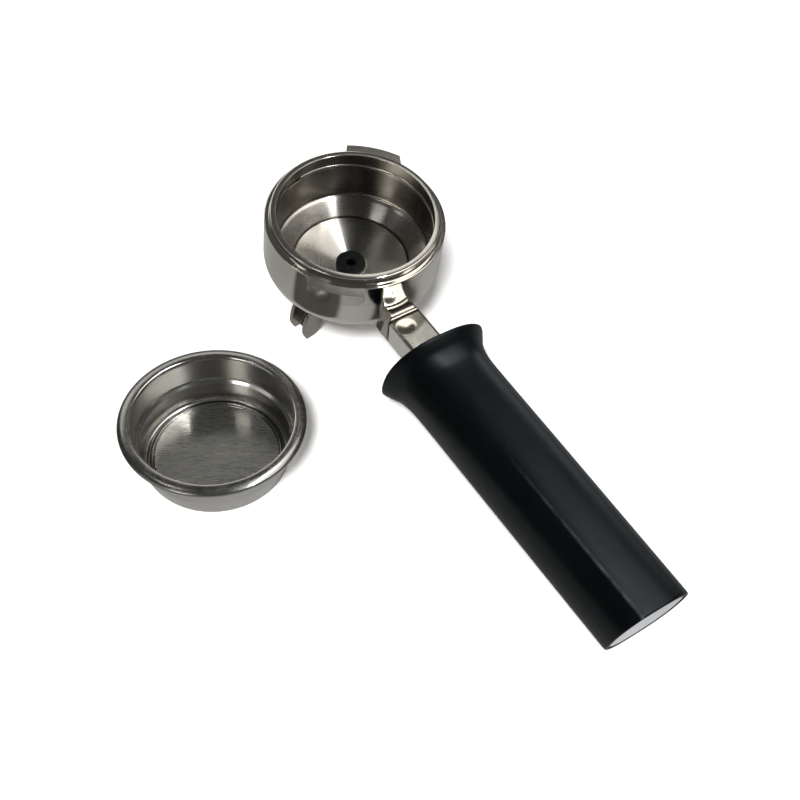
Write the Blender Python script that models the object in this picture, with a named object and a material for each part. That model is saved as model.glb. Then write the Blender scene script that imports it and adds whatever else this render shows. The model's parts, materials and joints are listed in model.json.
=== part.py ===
"""Two-eared espresso portafilter on its double spout, with a single-cup filter basket beside it.

Metres, +Z up. The portafilter is modelled in the frame of its cup (origin at the middle of the rim,
+Z up the cup's axis, +X towards the handle), then leaned until spout and handle end touch Z = 0.
"""
import math

import bmesh
import bpy
from mathutils import Matrix, Vector

MM = 0.001
GAP = 0.3 * MM                       # clearance kept between touching pieces

# Cup
BORE_R = 30.0 * MM
RIM_R = 32.4 * MM
BODY_R = 34.5 * MM
SHOULDER_Z = -3.0 * MM
CORNER_R = 9.0 * MM                  # rounding between the wall and the underside
BODY_BOTTOM_Z = -30.0 * MM
GROOVE_Z = (-6.3 * MM, -4.6 * MM)    # retaining spring groove
GROOVE_R = 31.4 * MM
CONE_RIM_R = 22.4 * MM               # ring where the steep band meets the shallow cone
CONE_RIM_Z = -27.4 * MM
FLOOR_Z = -30.0 * MM
BAND_TOP_R = 27.7 * MM
BAND_TOP_Z = -22.3 * MM
WALL_FOOT_Z = -20.0 * MM
OUTLET_R = 4.2 * MM
BOSS_R = 12.0 * MM
BOSS_TOP_Z = -33.0 * MM
BOSS_BOTTOM_Z = -35.6 * MM
NIPPLE_HOLE_R = 6.8 * MM
NIPPLE_SEAT_Z = -32.1 * MM

# Ears, which lock the cup into the group head
EAR_R = 38.2 * MM
EAR_TOP_Z = -2.7 * MM
EAR_BOTTOM_Z = -8.5 * MM
EAR_STARTS_DEG = (-59.0, 121.0)
EAR_SPAN_DEG = 32.5
EAR_LEAD_CUT_DEG = 8.0               # how much further back the leading end starts at the wall
EAR_LEAD_CORNER = 1.6 * MM
EAR_TRAIL_CORNER = 3.6 * MM

# Outlet plug
PLUG_R = 5.9 * MM
PLUG_TOP_Z = -28.3 * MM
PLUG_HOLE_R = 1.7 * MM
PLUG_STEM_BOTTOM_Z = -31.8 * MM

# Spout
NIPPLE_R = 6.5 * MM
NIPPLE_BORE_R = 4.0 * MM
NIPPLE_BOTTOM_Z = -44.0 * MM
SPOUT_WASHER = (6.9 * MM, 9.8 * MM, -36.9 * MM, -35.9 * MM)   # inner, outer radius, bottom, top
LOCK_NUT_R = 10.4 * MM
LOCK_NUT_Z = (-39.8 * MM, -37.2 * MM)
HUB_R = 10.5 * MM
HUB_TOP_Z = -40.1 * MM
HUB_BOTTOM_Z = -48.0 * MM
HUB_BORE_R = 6.8 * MM
TIP_Z = -54.5 * MM
CHANNEL_HALF_WIDTH = 4.8 * MM
CHANNEL_WALL = 1.7 * MM
SPOUT_CLOCK_DEG = 8.5               # how far the spout is screwed past square to the handle

# Handle axis, neck bar and stud
AXIS_DROP = 29.7 * MM                # where the handle axis meets the cup axis, below the rim
HANDLE_RISE_DEG = 4.0
BAR_HALF_WIDTH = 7.0 * MM
BAR_Z = (-4.6 * MM, 6.6 * MM)
BAR_START_X = 38.5 * MM
BAR_END_X = 79.0 * MM
BAR_BEVEL = 1.1 * MM
TENON_R = 3.8 * MM
TENON_START_X = 31.0 * MM
NECK_PIN_R = 1.1 * MM
NECK_PIN_X = 34.8 * MM
NECK_PIN_TOP_Z = 3.4 * MM
STUD_R = 3.9 * MM
STUD_X = (67.5 * MM, 165.0 * MM)
STUD_HOLE_R = 4.2 * MM

# Grip: stations along the handle axis as (x, half width, height above, depth below)
GRIP_STATIONS = (
    (57.3, 21.6, 19.4, 16.6),
    (58.2, 22.0, 19.8, 16.9),
    (60.8, 20.5, 18.3, 16.6),
    (64.0, 18.6, 16.2, 16.1),
    (68.0, 17.6, 14.6, 15.7),
    (73.0, 17.1, 13.9, 15.6),
    (85.0, 16.9, 13.8, 15.6),
    (115.0, 16.7, 13.7, 15.7),
    (150.0, 16.4, 13.5, 15.8),
    (172.0, 16.2, 13.4, 15.9),
    (184.0, 16.1, 13.3, 15.9),
)
GRIP_ROUNDNESS = 2.4                # exponent of the super-ellipse section
GRIP_WALL = 3.0 * MM
GRIP_LIP = 1.7 * MM                  # wall at the mouth
GRIP_END_WALL = 1.4 * MM             # wall around the end plate
END_SLANT_DEG = 10.0                 # the end face leans under
SLANT_START_X = 168.0 * MM
MOUTH_SLANT_END_X = 82.0 * MM
SEAT_X = 178.0 * MM                  # shoulder the end cap pulls against
SECTION_POINTS = 36

# Basket
BASKET_PLACE = (34.6 * MM, -82.0 * MM)
BASKET_HEIGHT = 21.8 * MM
BASKET_FLANGE_R = 33.9 * MM
BASKET_WALL_R = 29.6 * MM
BASKET_LEDGE_Z = 9.3 * MM
BASKET_FOOT_R = 25.0 * MM
BASKET_SHEET = 0.6 * MM

STEEL = ("polished_steel", (0.56, 0.54, 0.50), 0.18, 1.0)
BAR_STEEL = ("bar_steel", (0.60, 0.58, 0.54), 0.22, 1.0)
PRESSED_STEEL = ("pressed_steel", (0.50, 0.49, 0.47), 0.28, 1.0)
SPRING_STEEL = ("spring_steel", (0.42, 0.41, 0.40), 0.3, 1.0)
FASTENER_STEEL = ("fastener_steel", (0.60, 0.60, 0.60), 0.35, 1.0)
SATIN_SILVER = ("satin_silver", (0.66, 0.67, 0.70), 0.4, 1.0)
BLACK_RUBBER = ("black_rubber", (0.010, 0.010, 0.010), 0.45, 0.0)
BLACK_PLASTIC = ("black_plastic", (0.018, 0.020, 0.022), 0.38, 0.0)
GREY_NYLON = ("grey_nylon", (0.10, 0.10, 0.11), 0.55, 0.0)
FIBRE = ("fibre", (0.30, 0.12, 0.08), 0.8, 0.0)


def clear_scene():
    for obj in list(bpy.data.objects):
        bpy.data.objects.remove(obj)


def material(spec):
    name, colour, roughness, metallic = spec
    found = bpy.data.materials.get(name)
    if found:
        return found
    made = bpy.data.materials.new(name)
    made.use_nodes = True
    shader = made.node_tree.nodes["Principled BSDF"]
    shader.inputs["Base Color"].default_value = (*colour, 1.0)
    shader.inputs["Roughness"].default_value = roughness
    shader.inputs["Metallic"].default_value = metallic
    made.diffuse_color = (*colour, 1.0)
    return made


def empty(name, parent=None, matrix=None):
    made = bpy.data.objects.new(name, None)
    bpy.context.scene.collection.objects.link(made)
    made.parent = parent
    if matrix is not None:
        made.matrix_local = matrix
    return made


def add(name, bm, spec, parent, sharp_deg=35.0):
    """Turn a bmesh into a named object with outward faces, smooth where it is round."""
    bmesh.ops.recalc_face_normals(bm, faces=bm.faces)
    mesh = bpy.data.meshes.new(name)
    bm.to_mesh(mesh)
    bm.free()
    mesh.shade_smooth()
    mesh.set_sharp_from_angle(angle=math.radians(sharp_deg))
    mesh.materials.append(material(spec))
    obj = bpy.data.objects.new(name, mesh)
    bpy.context.scene.collection.objects.link(obj)
    obj.parent = parent
    return obj


def boolean(obj, tool_bm, operation, label, parent):
    """Add an EXACT boolean whose tool is a hidden wire object."""
    tool = add(f"{obj.name}_{label}", tool_bm, STEEL, parent)
    tool.hide_render = True
    tool.display_type = "WIRE"
    modifier = obj.modifiers.new(label, "BOOLEAN")
    modifier.operation = operation
    modifier.solver = "EXACT"
    modifier.object = tool
    return tool


def turned(profile, segments=64, axis="Z"):
    """Solid of revolution of a closed (radius, height) outline; points at radius 0 are shared."""
    bm = bmesh.new()
    rings = []
    for radius, height in profile:
        if radius == 0.0:
            rings.append([bm.verts.new(place(0.0, 0.0, height, axis))] * segments)
            continue
        ring = []
        for step in range(segments):
            turn = 2.0 * math.pi * step / segments
            ring.append(bm.verts.new(place(radius * math.cos(turn), radius * math.sin(turn), height, axis)))
        rings.append(ring)
    for here, there in zip(rings, rings[1:] + rings[:1]):
        if here[0] is here[1] and there[0] is there[1]:
            continue
        for step in range(segments):
            after = (step + 1) % segments
            corners = [here[step], here[after], there[after], there[step]]
            bm.faces.new(list(dict.fromkeys(corners)))
    return bm


def place(a, b, along, axis):
    """A point given across (a, b) and along an axis, Z or X."""
    return (a, b, along) if axis == "Z" else (along, a, b)


def loft(rings, closed=False):
    """Skin a list of equal rings; closed joins the last ring to the first, else both ends are capped."""
    bm = bmesh.new()
    rows = [[bm.verts.new(point) for point in ring] for ring in rings]
    count = len(rows[0])
    pairs = list(zip(rows, rows[1:]))
    if closed:
        pairs.append((rows[-1], rows[0]))
    for here, there in pairs:
        for step in range(count):
            after = (step + 1) % count
            bm.faces.new((here[step], here[after], there[after], there[step]))
    if not closed:
        bm.faces.new(rows[0][::-1])
        bm.faces.new(rows[-1])
    return bm


def box(low, high, bevel=0.0, bevel_segments=2):
    bm = bmesh.new()
    bmesh.ops.create_cube(bm, size=1.0)
    size = Vector(high) - Vector(low)
    middle = (Vector(high) + Vector(low)) / 2.0
    bmesh.ops.transform(bm, matrix=Matrix.Translation(middle) @ Matrix.Diagonal((*size, 1.0)), verts=bm.verts)
    if bevel:
        bmesh.ops.bevel(bm, geom=bm.edges[:], offset=bevel, segments=bevel_segments, profile=0.5,
                        affect="EDGES", clamp_overlap=True)
    return bm


def arc(centre, radius, start_deg, end_deg, steps):
    """Points (radius, height) along an arc, both ends included."""
    points = []
    for step in range(steps + 1):
        turn = math.radians(start_deg + (end_deg - start_deg) * step / steps)
        points.append((centre[0] + radius * math.cos(turn), centre[1] + radius * math.sin(turn)))
    return points


# ---------------------------------------------------------------- cup and ears

def cup_profile():
    chamfer = 0.35 * MM
    corner = (BODY_R - CORNER_R, BODY_BOTTOM_Z + CORNER_R)
    outside = [
        (BORE_R + chamfer, 0.0),
        (RIM_R - chamfer, 0.0),
        (RIM_R, -chamfer),
        (RIM_R, SHOULDER_Z),
        (BODY_R - chamfer, SHOULDER_Z),
        (BODY_R, SHOULDER_Z - chamfer),
    ]
    outside += arc(corner, CORNER_R, 0.0, -90.0, 7)
    outside += [
        (BOSS_R + 1.0 * MM, BOSS_TOP_Z),
        (BOSS_R, BOSS_TOP_Z - 0.6 * MM),
        (BOSS_R, BOSS_BOTTOM_Z),
        (NIPPLE_HOLE_R, BOSS_BOTTOM_Z),
        (NIPPLE_HOLE_R, NIPPLE_SEAT_Z),
        (OUTLET_R, NIPPLE_SEAT_Z),
    ]
    inside = [
        (OUTLET_R, FLOOR_Z),
        (PLUG_R + 0.6 * MM, FLOOR_Z),
        (CONE_RIM_R, CONE_RIM_Z),
        (CONE_RIM_R + 0.2 * MM, CONE_RIM_Z - 0.4 * MM),
        (CONE_RIM_R + 0.6 * MM, CONE_RIM_Z - 0.3 * MM),
        (CONE_RIM_R + 0.9 * MM, CONE_RIM_Z + 0.5 * MM),
        (BAND_TOP_R, BAND_TOP_Z),
    ]
    inside += arc((BORE_R - 2.4 * MM, WALL_FOOT_Z), 2.4 * MM, -55.0, 0.0, 3)
    inside += [
        (BORE_R, GROOVE_Z[0]),
        (GROOVE_R, GROOVE_Z[0]),
        (GROOVE_R, GROOVE_Z[1]),
        (BORE_R, GROOVE_Z[1]),
        (BORE_R, -chamfer),
    ]
    return outside + inside


def ear(start_deg):
    """A block on the cup wall, counter-clockwise from start_deg: flat on top, its leading end cut at an
    angle in plan and its lower corners rounded."""
    end_deg = start_deg + EAR_SPAN_DEG
    lead, trail = EAR_LEAD_CORNER, EAR_TRAIL_CORNER
    stations = []
    for step in range(4):
        turn = math.radians(30.0 * step)
        stations.append((start_deg + math.degrees(lead / EAR_R) * (1.0 - math.cos(turn)), lead * math.sin(turn)))
    stations = [(deg, EAR_BOTTOM_Z + lead - rise) for deg, rise in stations]
    plain = 5
    first = stations[-1][0]
    last = end_deg - math.degrees(trail / EAR_R)
    stations += [(first + (last - first) * step / plain, EAR_BOTTOM_Z) for step in range(1, plain)]
    for step in range(5):
        turn = math.radians(90.0 - 22.5 * step)
        deg = last + math.degrees(trail / EAR_R) * math.cos(turn)
        stations.append((deg, EAR_BOTTOM_Z + trail * (1.0 - math.sin(turn))))
    inner_r = RIM_R - 0.7 * MM
    edge = 0.2 * MM
    rings = []
    for deg, bottom in stations:
        outer = Vector((math.cos(math.radians(deg)), math.sin(math.radians(deg)), 0.0))
        share = (deg - start_deg) / EAR_SPAN_DEG
        root_deg = math.radians(start_deg - EAR_LEAD_CUT_DEG + share * (EAR_SPAN_DEG + EAR_LEAD_CUT_DEG + 2.0))
        inner = Vector((math.cos(root_deg), math.sin(root_deg), 0.0)) * inner_r
        rings.append([
            inner + Vector((0.0, 0.0, bottom)),
            outer * EAR_R + Vector((0.0, 0.0, bottom)),
            outer * EAR_R + Vector((0.0, 0.0, EAR_TOP_Z - edge)),
            outer * (EAR_R - edge) + Vector((0.0, 0.0, EAR_TOP_Z)),
            inner + Vector((0.0, 0.0, EAR_TOP_Z)),
        ])
    return loft(rings)


def neck_stub():
    """Root of the neck in the handle frame: it leaves the cup's lower corner, swells into a fillet on
    the wall and ends in a low bead that the bar butts against."""
    end = BAR_START_X - GAP
    low, high = BAR_Z
    half = BAR_HALF_WIDTH
    buried = ((25.5 * MM, 4.5 * MM, -1.1 * MM, 1.4 * MM), (30.0 * MM, half, -3.9 * MM, 4.9 * MM))
    fillet = ((33.6, 2.4), (34.7, 2.1), (35.2, 1.4), (35.7, 0.85), (36.2, 0.5), (36.8, 0.38), (37.4, 0.45))
    stations = list(buried)
    stations += [(x * MM, half + 0.2 * swell * MM, low, high + swell * MM) for x, swell in fillet]
    stations += [(end - 0.3 * MM, half + 0.1 * MM, low, high + 0.4 * MM), (end, half, low, high)]
    rings = []
    for x, width, bottom, top in stations:
        cut = BAR_BEVEL
        rings.append([Vector((x, y, z)) for y, z in (
            (-width + cut, bottom), (width - cut, bottom), (width, bottom + cut), (width, top - cut),
            (width - cut, top), (-width + cut, top), (-width, top - cut), (-width, bottom + cut))])
    return loft(rings)


def head_body(cup, handle):
    obj = add("head_body", turned(cup_profile(), 60), STEEL, cup, 30.0)
    for number, start in enumerate(EAR_STARTS_DEG):
        boolean(obj, ear(start), "UNION", f"ear_{number}", cup)
    boolean(obj, neck_stub(), "UNION", "neck_stub", handle)
    socket = turned([(0.0, TENON_START_X - GAP), (TENON_R + GAP, TENON_START_X - GAP),
                     (TENON_R + GAP, BAR_START_X + 1.0 * MM), (0.0, BAR_START_X + 1.0 * MM)], 24, "X")
    bmesh.ops.translate(socket, vec=(0.0, 0.0, sum(BAR_Z) / 2.0), verts=socket.verts)
    boolean(obj, socket, "DIFFERENCE", "tenon_socket", handle)
    hole = neck_pin_shape(NECK_PIN_R + GAP, BAR_Z[0] - 2.0 * MM, NECK_PIN_TOP_Z)
    boolean(obj, hole, "DIFFERENCE", "pin_hole", handle)


def neck_pin_shape(radius, bottom, top):
    bm = turned([(0.0, bottom), (radius, bottom), (radius, top), (0.0, top)], 16)
    bmesh.ops.translate(bm, vec=(NECK_PIN_X, 0.0, 0.0), verts=bm.verts)
    return bm


def neck_pin(handle):
    """Pin driven in from below, across the bar's tenon."""
    add("neck_pin", neck_pin_shape(NECK_PIN_R, BAR_Z[0] + 0.2 * MM, NECK_PIN_TOP_Z - GAP), FASTENER_STEEL, handle)


def basket_spring(cup):
    """Round wire ring in the groove, open by a small gap."""
    wire_r = 0.52 * MM
    ring_r = GROOVE_R - GAP - wire_r
    middle_z = sum(GROOVE_Z) / 2.0
    opening_deg = 14.0
    steps = 60
    rings = []
    for step in range(steps + 1):
        turn = math.radians(200.0 + opening_deg / 2.0 + (360.0 - opening_deg) * step / steps)
        across = Vector((math.cos(turn), math.sin(turn), 0.0))
        ring = []
        for side in range(6):
            angle = 2.0 * math.pi * side / 6.0
            ring.append(across * (ring_r + wire_r * math.cos(angle))
                        + Vector((0.0, 0.0, middle_z + wire_r * math.sin(angle))))
        rings.append(ring)
    add("basket_spring", loft(rings), SPRING_STEEL, cup, 70.0)


def outlet_plug(cup):
    profile = [(PLUG_HOLE_R + 0.5 * MM, PLUG_TOP_Z), (PLUG_R - 1.0 * MM, PLUG_TOP_Z)]
    profile += arc((PLUG_R - 0.9 * MM, PLUG_TOP_Z - 0.9 * MM), 0.9 * MM, 60.0, 0.0, 2)
    profile += [
        (PLUG_R, FLOOR_Z + GAP),
        (OUTLET_R - GAP, FLOOR_Z + GAP),
        (OUTLET_R - GAP, PLUG_STEM_BOTTOM_Z),
        (PLUG_HOLE_R, PLUG_STEM_BOTTOM_Z),
        (PLUG_HOLE_R, PLUG_TOP_Z - 0.5 * MM),
    ]
    add("outlet_plug", turned(profile, 32), BLACK_RUBBER, cup)


# ---------------------------------------------------------------- spout

def spout_nipple(cup):
    """Hollow threaded nipple; its thread is a stack of rings."""
    pitch = 1.9 * MM
    depth = 0.45 * MM
    top = NIPPLE_SEAT_Z - GAP
    turns = int((top - NIPPLE_BOTTOM_Z) / pitch)
    profile = [(NIPPLE_BORE_R, top)]
    for number in range(turns):
        start = top - pitch * number
        profile.append((NIPPLE_R - depth, start - 0.1 * MM))
        profile.append((NIPPLE_R, start - pitch / 2.0))
    profile += [(NIPPLE_R - depth, NIPPLE_BOTTOM_Z), (NIPPLE_BORE_R, NIPPLE_BOTTOM_Z)]
    add("spout_nipple", turned(profile, 28), FASTENER_STEEL, cup, 20.0)


def spout_washer(cup):
    inner, outer, bottom, top = SPOUT_WASHER
    add("spout_washer", turned([(inner, top), (outer, top), (outer, bottom), (inner, bottom)], 40), FIBRE, cup)


def spout_lock_nut(cup):
    """Thin round nut that holds the spout where it faces; four notches take a hook wrench."""
    bottom, top = LOCK_NUT_Z
    edge = 0.4 * MM
    inner = NIPPLE_R + GAP
    profile = [(inner, top), (LOCK_NUT_R - edge, top), (LOCK_NUT_R, top - edge), (LOCK_NUT_R, bottom + edge),
               (LOCK_NUT_R - edge, bottom), (inner, bottom)]
    obj = add("spout_lock_nut", turned(profile, 40), FASTENER_STEEL, cup)
    for number in range(4):
        notch = box((LOCK_NUT_R - 1.2 * MM, -1.1 * MM, bottom - 1.0 * MM), (LOCK_NUT_R + 1.0 * MM, 1.1 * MM, top + 1.0 * MM))
        bmesh.ops.rotate(notch, matrix=Matrix.Rotation(math.radians(45.0 + 90.0 * number), 3, "Z"), verts=notch.verts)
        boolean(obj, notch, "DIFFERENCE", f"notch_{number}", cup)


def channel(side):
    """One outlet: a U-shaped channel, open outwards, that curves from the hub down to its tip.

    Each station gives the open edge and the back of the channel as (distance out, height)."""
    stations = (
        ((7.6, -40.6), (7.6, -47.2)),
        ((14.0, -39.8), (10.8, -46.8)),
        ((20.0, -39.0), (13.6, -46.6)),
        ((23.2, -39.3), (15.2, -47.0)),
        ((25.0, -41.2), (16.4, -47.9)),
        ((26.1, -44.6), (17.6, -49.6)),
        ((26.5, -48.6), (18.8, -51.6)),
        ((26.1, -51.6), (19.8, -53.2)),
        ((24.8, TIP_Z / MM), (20.7, TIP_Z / MM)),
    )
    half = CHANNEL_HALF_WIDTH
    inside = half - CHANNEL_WALL
    rings = []
    for edge, back in stations:
        outer = Vector(edge) * MM
        inner = Vector(back) * MM
        web = inner + (outer - inner).normalized() * CHANNEL_WALL
        outline = [(-half, outer), (-inside, outer), (-inside, web), (inside, web),
                   (inside, outer), (half, outer), (half, inner), (-half, inner)]
        rings.append([Vector((x, side * p.x, p.y)) for x, p in outline])
    return loft(rings)


def spout_body(cup):
    clock = empty("spout_axis", cup, Matrix.Rotation(math.radians(SPOUT_CLOCK_DEG), 4, "Z"))
    edge = 0.8 * MM
    hub = [(0.0, HUB_TOP_Z), (HUB_R - edge, HUB_TOP_Z), (HUB_R, HUB_TOP_Z - edge),
           (HUB_R, HUB_BOTTOM_Z + 2.0 * MM), (HUB_R - 2.0 * MM, HUB_BOTTOM_Z), (0.0, HUB_BOTTOM_Z)]
    obj = add("spout_body", turned(hub, 48), STEEL, clock)
    for side in (-1.0, 1.0):
        boolean(obj, channel(side), "UNION", f"channel_{'left' if side < 0 else 'right'}", clock)
    bore_top = HUB_TOP_Z + 1.0 * MM
    chamber_z = -46.0 * MM
    bore = [(0.0, bore_top), (HUB_BORE_R, bore_top), (HUB_BORE_R, chamber_z), (0.0, chamber_z)]
    boolean(obj, turned(bore, 40), "DIFFERENCE", "bore", clock)
    inside = CHANNEL_HALF_WIDTH - CHANNEL_WALL
    window = box((-inside, -12.5 * MM, -45.4 * MM), (inside, 12.5 * MM, -41.6 * MM))
    boolean(obj, window, "DIFFERENCE", "window", clock)


# ---------------------------------------------------------------- handle

def grip_size(x):
    """Half width, height above and depth below the axis at x, blended between the stations."""
    x_mm = x / MM
    stations = GRIP_STATIONS
    if x_mm <= stations[0][0]:
        return tuple(value * MM for value in stations[0][1:])
    for here, there in zip(stations, stations[1:]):
        if x_mm <= there[0]:
            share = (x_mm - here[0]) / (there[0] - here[0])
            return tuple((a + (b - a) * share) * MM for a, b in zip(here[1:], there[1:]))
    return tuple(value * MM for value in stations[-1][1:])


def slant(x, z):
    """Shift along the axis that leans the sections near the mouth and near the end."""
    mouth_x, end_x = GRIP_STATIONS[0][0] * MM, GRIP_STATIONS[-1][0] * MM
    at_end = (x - SLANT_START_X) / (end_x - SLANT_START_X)
    at_mouth = (MOUTH_SLANT_END_X - x) / (MOUTH_SLANT_END_X - mouth_x)
    share = min(max(at_end, at_mouth, 0.0), 1.0)
    return share * math.tan(math.radians(END_SLANT_DEG)) * z


def grip_ring(x, inset, count=SECTION_POINTS):
    """The grip's section at x, moved inwards by inset."""
    width, above, below = grip_size(x)
    power = 2.0 / GRIP_ROUNDNESS
    ring = []
    for step in range(count):
        turn = 2.0 * math.pi * (step + 0.5) / count
        side, lift = math.cos(turn), math.sin(turn)
        y = (width - inset) * math.copysign(abs(side) ** power, side)
        height = (above if lift > 0 else below) - inset
        z = height * math.copysign(abs(lift) ** power, lift)
        ring.append(Vector((x + slant(x, z), y, z)))
    return ring


def handle_grip(handle):
    """Black moulded shell, open at the mouth and at the end."""
    end_x = GRIP_STATIONS[-1][0] * MM
    rings = [grip_ring(station[0] * MM, 0.0) for station in GRIP_STATIONS[:-1]]
    rings.append(grip_ring(end_x - 0.5 * MM, 0.0))
    rings.append(grip_ring(end_x, 0.4 * MM))
    rings.append(grip_ring(end_x, GRIP_END_WALL))
    rings.append(grip_ring(SEAT_X, GRIP_END_WALL))
    rings.append(grip_ring(SEAT_X, GRIP_WALL))
    for x in (SLANT_START_X, 120.0 * MM, 75.0 * MM, 68.0 * MM, 64.0 * MM):
        rings.append(grip_ring(x, GRIP_WALL))
    rings.append(grip_ring(60.5 * MM, 2.4 * MM))
    rings.append(grip_ring(57.2 * MM, GRIP_LIP))
    add("handle_grip", loft(rings, closed=True), BLACK_PLASTIC, handle, 40.0)


def neck_bar(handle):
    """Flat bar with a round tenon at the cup end and a tapped hole at the other."""
    low = (BAR_START_X, -BAR_HALF_WIDTH, BAR_Z[0])
    high = (BAR_END_X, BAR_HALF_WIDTH, BAR_Z[1])
    obj = add("neck_bar", box(low, high, BAR_BEVEL), BAR_STEEL, handle, 25.0)
    middle_z = sum(BAR_Z) / 2.0
    tenon = turned([(0.0, TENON_START_X), (TENON_R, TENON_START_X), (TENON_R, BAR_START_X + 2.0 * MM),
                    (0.0, BAR_START_X + 2.0 * MM)], 24, "X")
    bmesh.ops.translate(tenon, vec=(0.0, 0.0, middle_z), verts=tenon.verts)
    boolean(obj, tenon, "UNION", "tenon", handle)
    pin_hole = neck_pin_shape(NECK_PIN_R + GAP, BAR_Z[0] - 2.0 * MM, NECK_PIN_TOP_Z)
    boolean(obj, pin_hole, "DIFFERENCE", "pin_hole", handle)
    start = STUD_X[0] - GAP
    hole = turned([(0.0, start), (STUD_HOLE_R, start), (STUD_HOLE_R, BAR_END_X + 1.0 * MM),
                   (0.0, BAR_END_X + 1.0 * MM)], 24, "X")
    bmesh.ops.translate(hole, vec=(0.0, 0.0, middle_z), verts=hole.verts)
    boolean(obj, hole, "DIFFERENCE", "stud_hole", handle)


def on_stud(bm):
    """Move a piece turned about the handle axis onto the stud, which runs through the bar's middle."""
    bmesh.ops.translate(bm, vec=(0.0, 0.0, sum(BAR_Z) / 2.0), verts=bm.verts)
    return bm


def handle_stud(handle):
    chamfer = 0.6 * MM
    start, end = STUD_X
    tap_r, tap_depth = 2.3 * MM, 13.0 * MM
    profile = [(0.0, start), (STUD_R - chamfer, start), (STUD_R, start + chamfer), (STUD_R, end - chamfer),
               (STUD_R - chamfer, end), (tap_r, end), (tap_r, end - tap_depth), (0.0, end - tap_depth)]
    add("handle_stud", on_stud(turned(profile, 24, "X")), FASTENER_STEEL, handle)


CORE_X = (65.0 * MM, 165.6 * MM)
CORE_RECESS_X = 152.0 * MM
CORE_RECESS_R = 9.6 * MM


def handle_core(handle):
    """Moulded core keyed on the bar; the stud pulls it up and the grip slides over it."""
    inset = GRIP_WALL + GAP
    rings = [grip_ring(x, inset, 28) for x in (CORE_X[0], 68.0 * MM, 75.0 * MM, 120.0 * MM, CORE_X[1])]
    obj = add("handle_core", loft(rings), GREY_NYLON, handle, 40.0)
    socket = box((CORE_X[0] - 1.0 * MM, -BAR_HALF_WIDTH - GAP, BAR_Z[0] - GAP),
                 (BAR_END_X + GAP, BAR_HALF_WIDTH + GAP, BAR_Z[1] + GAP))
    boolean(obj, socket, "DIFFERENCE", "bar_socket", handle)
    bore_r = STUD_R + GAP
    bore = turned([(0.0, BAR_END_X - 1.0 * MM), (bore_r, BAR_END_X - 1.0 * MM), (bore_r, CORE_RECESS_X),
                   (CORE_RECESS_R, CORE_RECESS_X), (CORE_RECESS_R, CORE_X[1] + 1.0 * MM),
                   (0.0, CORE_X[1] + 1.0 * MM)], 28, "X")
    boolean(obj, on_stud(bore), "DIFFERENCE", "stud_bore", handle)


def mouth_bush(handle):
    """Plate that closes the mouth of the grip around the bar."""
    rings = [grip_ring(61.0 * MM, 2.4 * MM + 2.0 * GAP, 28), grip_ring(64.4 * MM, GRIP_WALL + GAP, 28)]
    obj = add("mouth_bush", loft(rings), BLACK_PLASTIC, handle, 40.0)
    hole = box((60.0 * MM, -BAR_HALF_WIDTH - GAP, BAR_Z[0] - GAP),
               (65.4 * MM, BAR_HALF_WIDTH + GAP, BAR_Z[1] + GAP))
    boolean(obj, hole, "DIFFERENCE", "bar_hole", handle)


def stud_washer(handle):
    start, end = CORE_RECESS_X + GAP, CORE_RECESS_X + GAP + 1.6 * MM
    bm = turned([(STUD_R + GAP, start), (8.4 * MM, start), (8.4 * MM, end), (STUD_R + GAP, end)], 32, "X")
    add("stud_washer", on_stud(bm), FASTENER_STEEL, handle)


def stud_spring_washer(handle):
    """Split washer: one turn of square wire whose ends stand slightly apart."""
    inner, outer, thickness, lift = STUD_R + GAP, 7.0 * MM, 1.6 * MM, 0.5 * MM
    start = CORE_RECESS_X + 2.2 * MM
    steps = 28
    rings = []
    for step in range(steps + 1):
        turn = math.radians(8.0 + 344.0 * step / steps)
        shift = start + lift * step / steps
        out = Vector((0.0, math.cos(turn), math.sin(turn)))
        rings.append([out * inner + Vector((shift, 0.0, 0.0)), out * outer + Vector((shift, 0.0, 0.0)),
                      out * outer + Vector((shift + thickness, 0.0, 0.0)),
                      out * inner + Vector((shift + thickness, 0.0, 0.0))])
    add("stud_spring_washer", on_stud(loft(rings)), FASTENER_STEEL, handle)


def stud_nut(handle):
    across_corners, thickness = 15.0 * MM, 6.4 * MM
    start = CORE_RECESS_X + 4.7 * MM
    outside, inside = [], []
    for corner in range(6):
        turn = math.radians(60.0 * corner)
        outside.append(Vector((0.0, math.cos(turn), math.sin(turn))) * across_corners / 2.0)
    bm = loft([[p + Vector((start, 0.0, 0.0)) for p in outside],
               [p + Vector((start + thickness, 0.0, 0.0)) for p in outside]])
    bmesh.ops.bevel(bm, geom=[e for e in bm.edges if len({round(v.co.x, 6) for v in e.verts}) == 1],
                    offset=0.5 * MM, segments=1, affect="EDGES")
    obj = add("stud_nut", on_stud(bm), FASTENER_STEEL, handle, 20.0)
    hole_r = STUD_R + GAP
    hole = turned([(0.0, start - 1.0 * MM), (hole_r, start - 1.0 * MM), (hole_r, start + thickness + 1.0 * MM),
                   (0.0, start + thickness + 1.0 * MM)], 24, "X")
    boolean(obj, on_stud(hole), "DIFFERENCE", "hole", handle)


CAP_SCREW_R = 2.0 * MM
CAP_SCREW_HEAD_R = 4.0 * MM
PLATE_X = (181.4 * MM, 183.7 * MM)
PIN_PLACES_Y = (-8.5 * MM, 8.5 * MM)
PIN_R = 1.4 * MM


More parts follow.
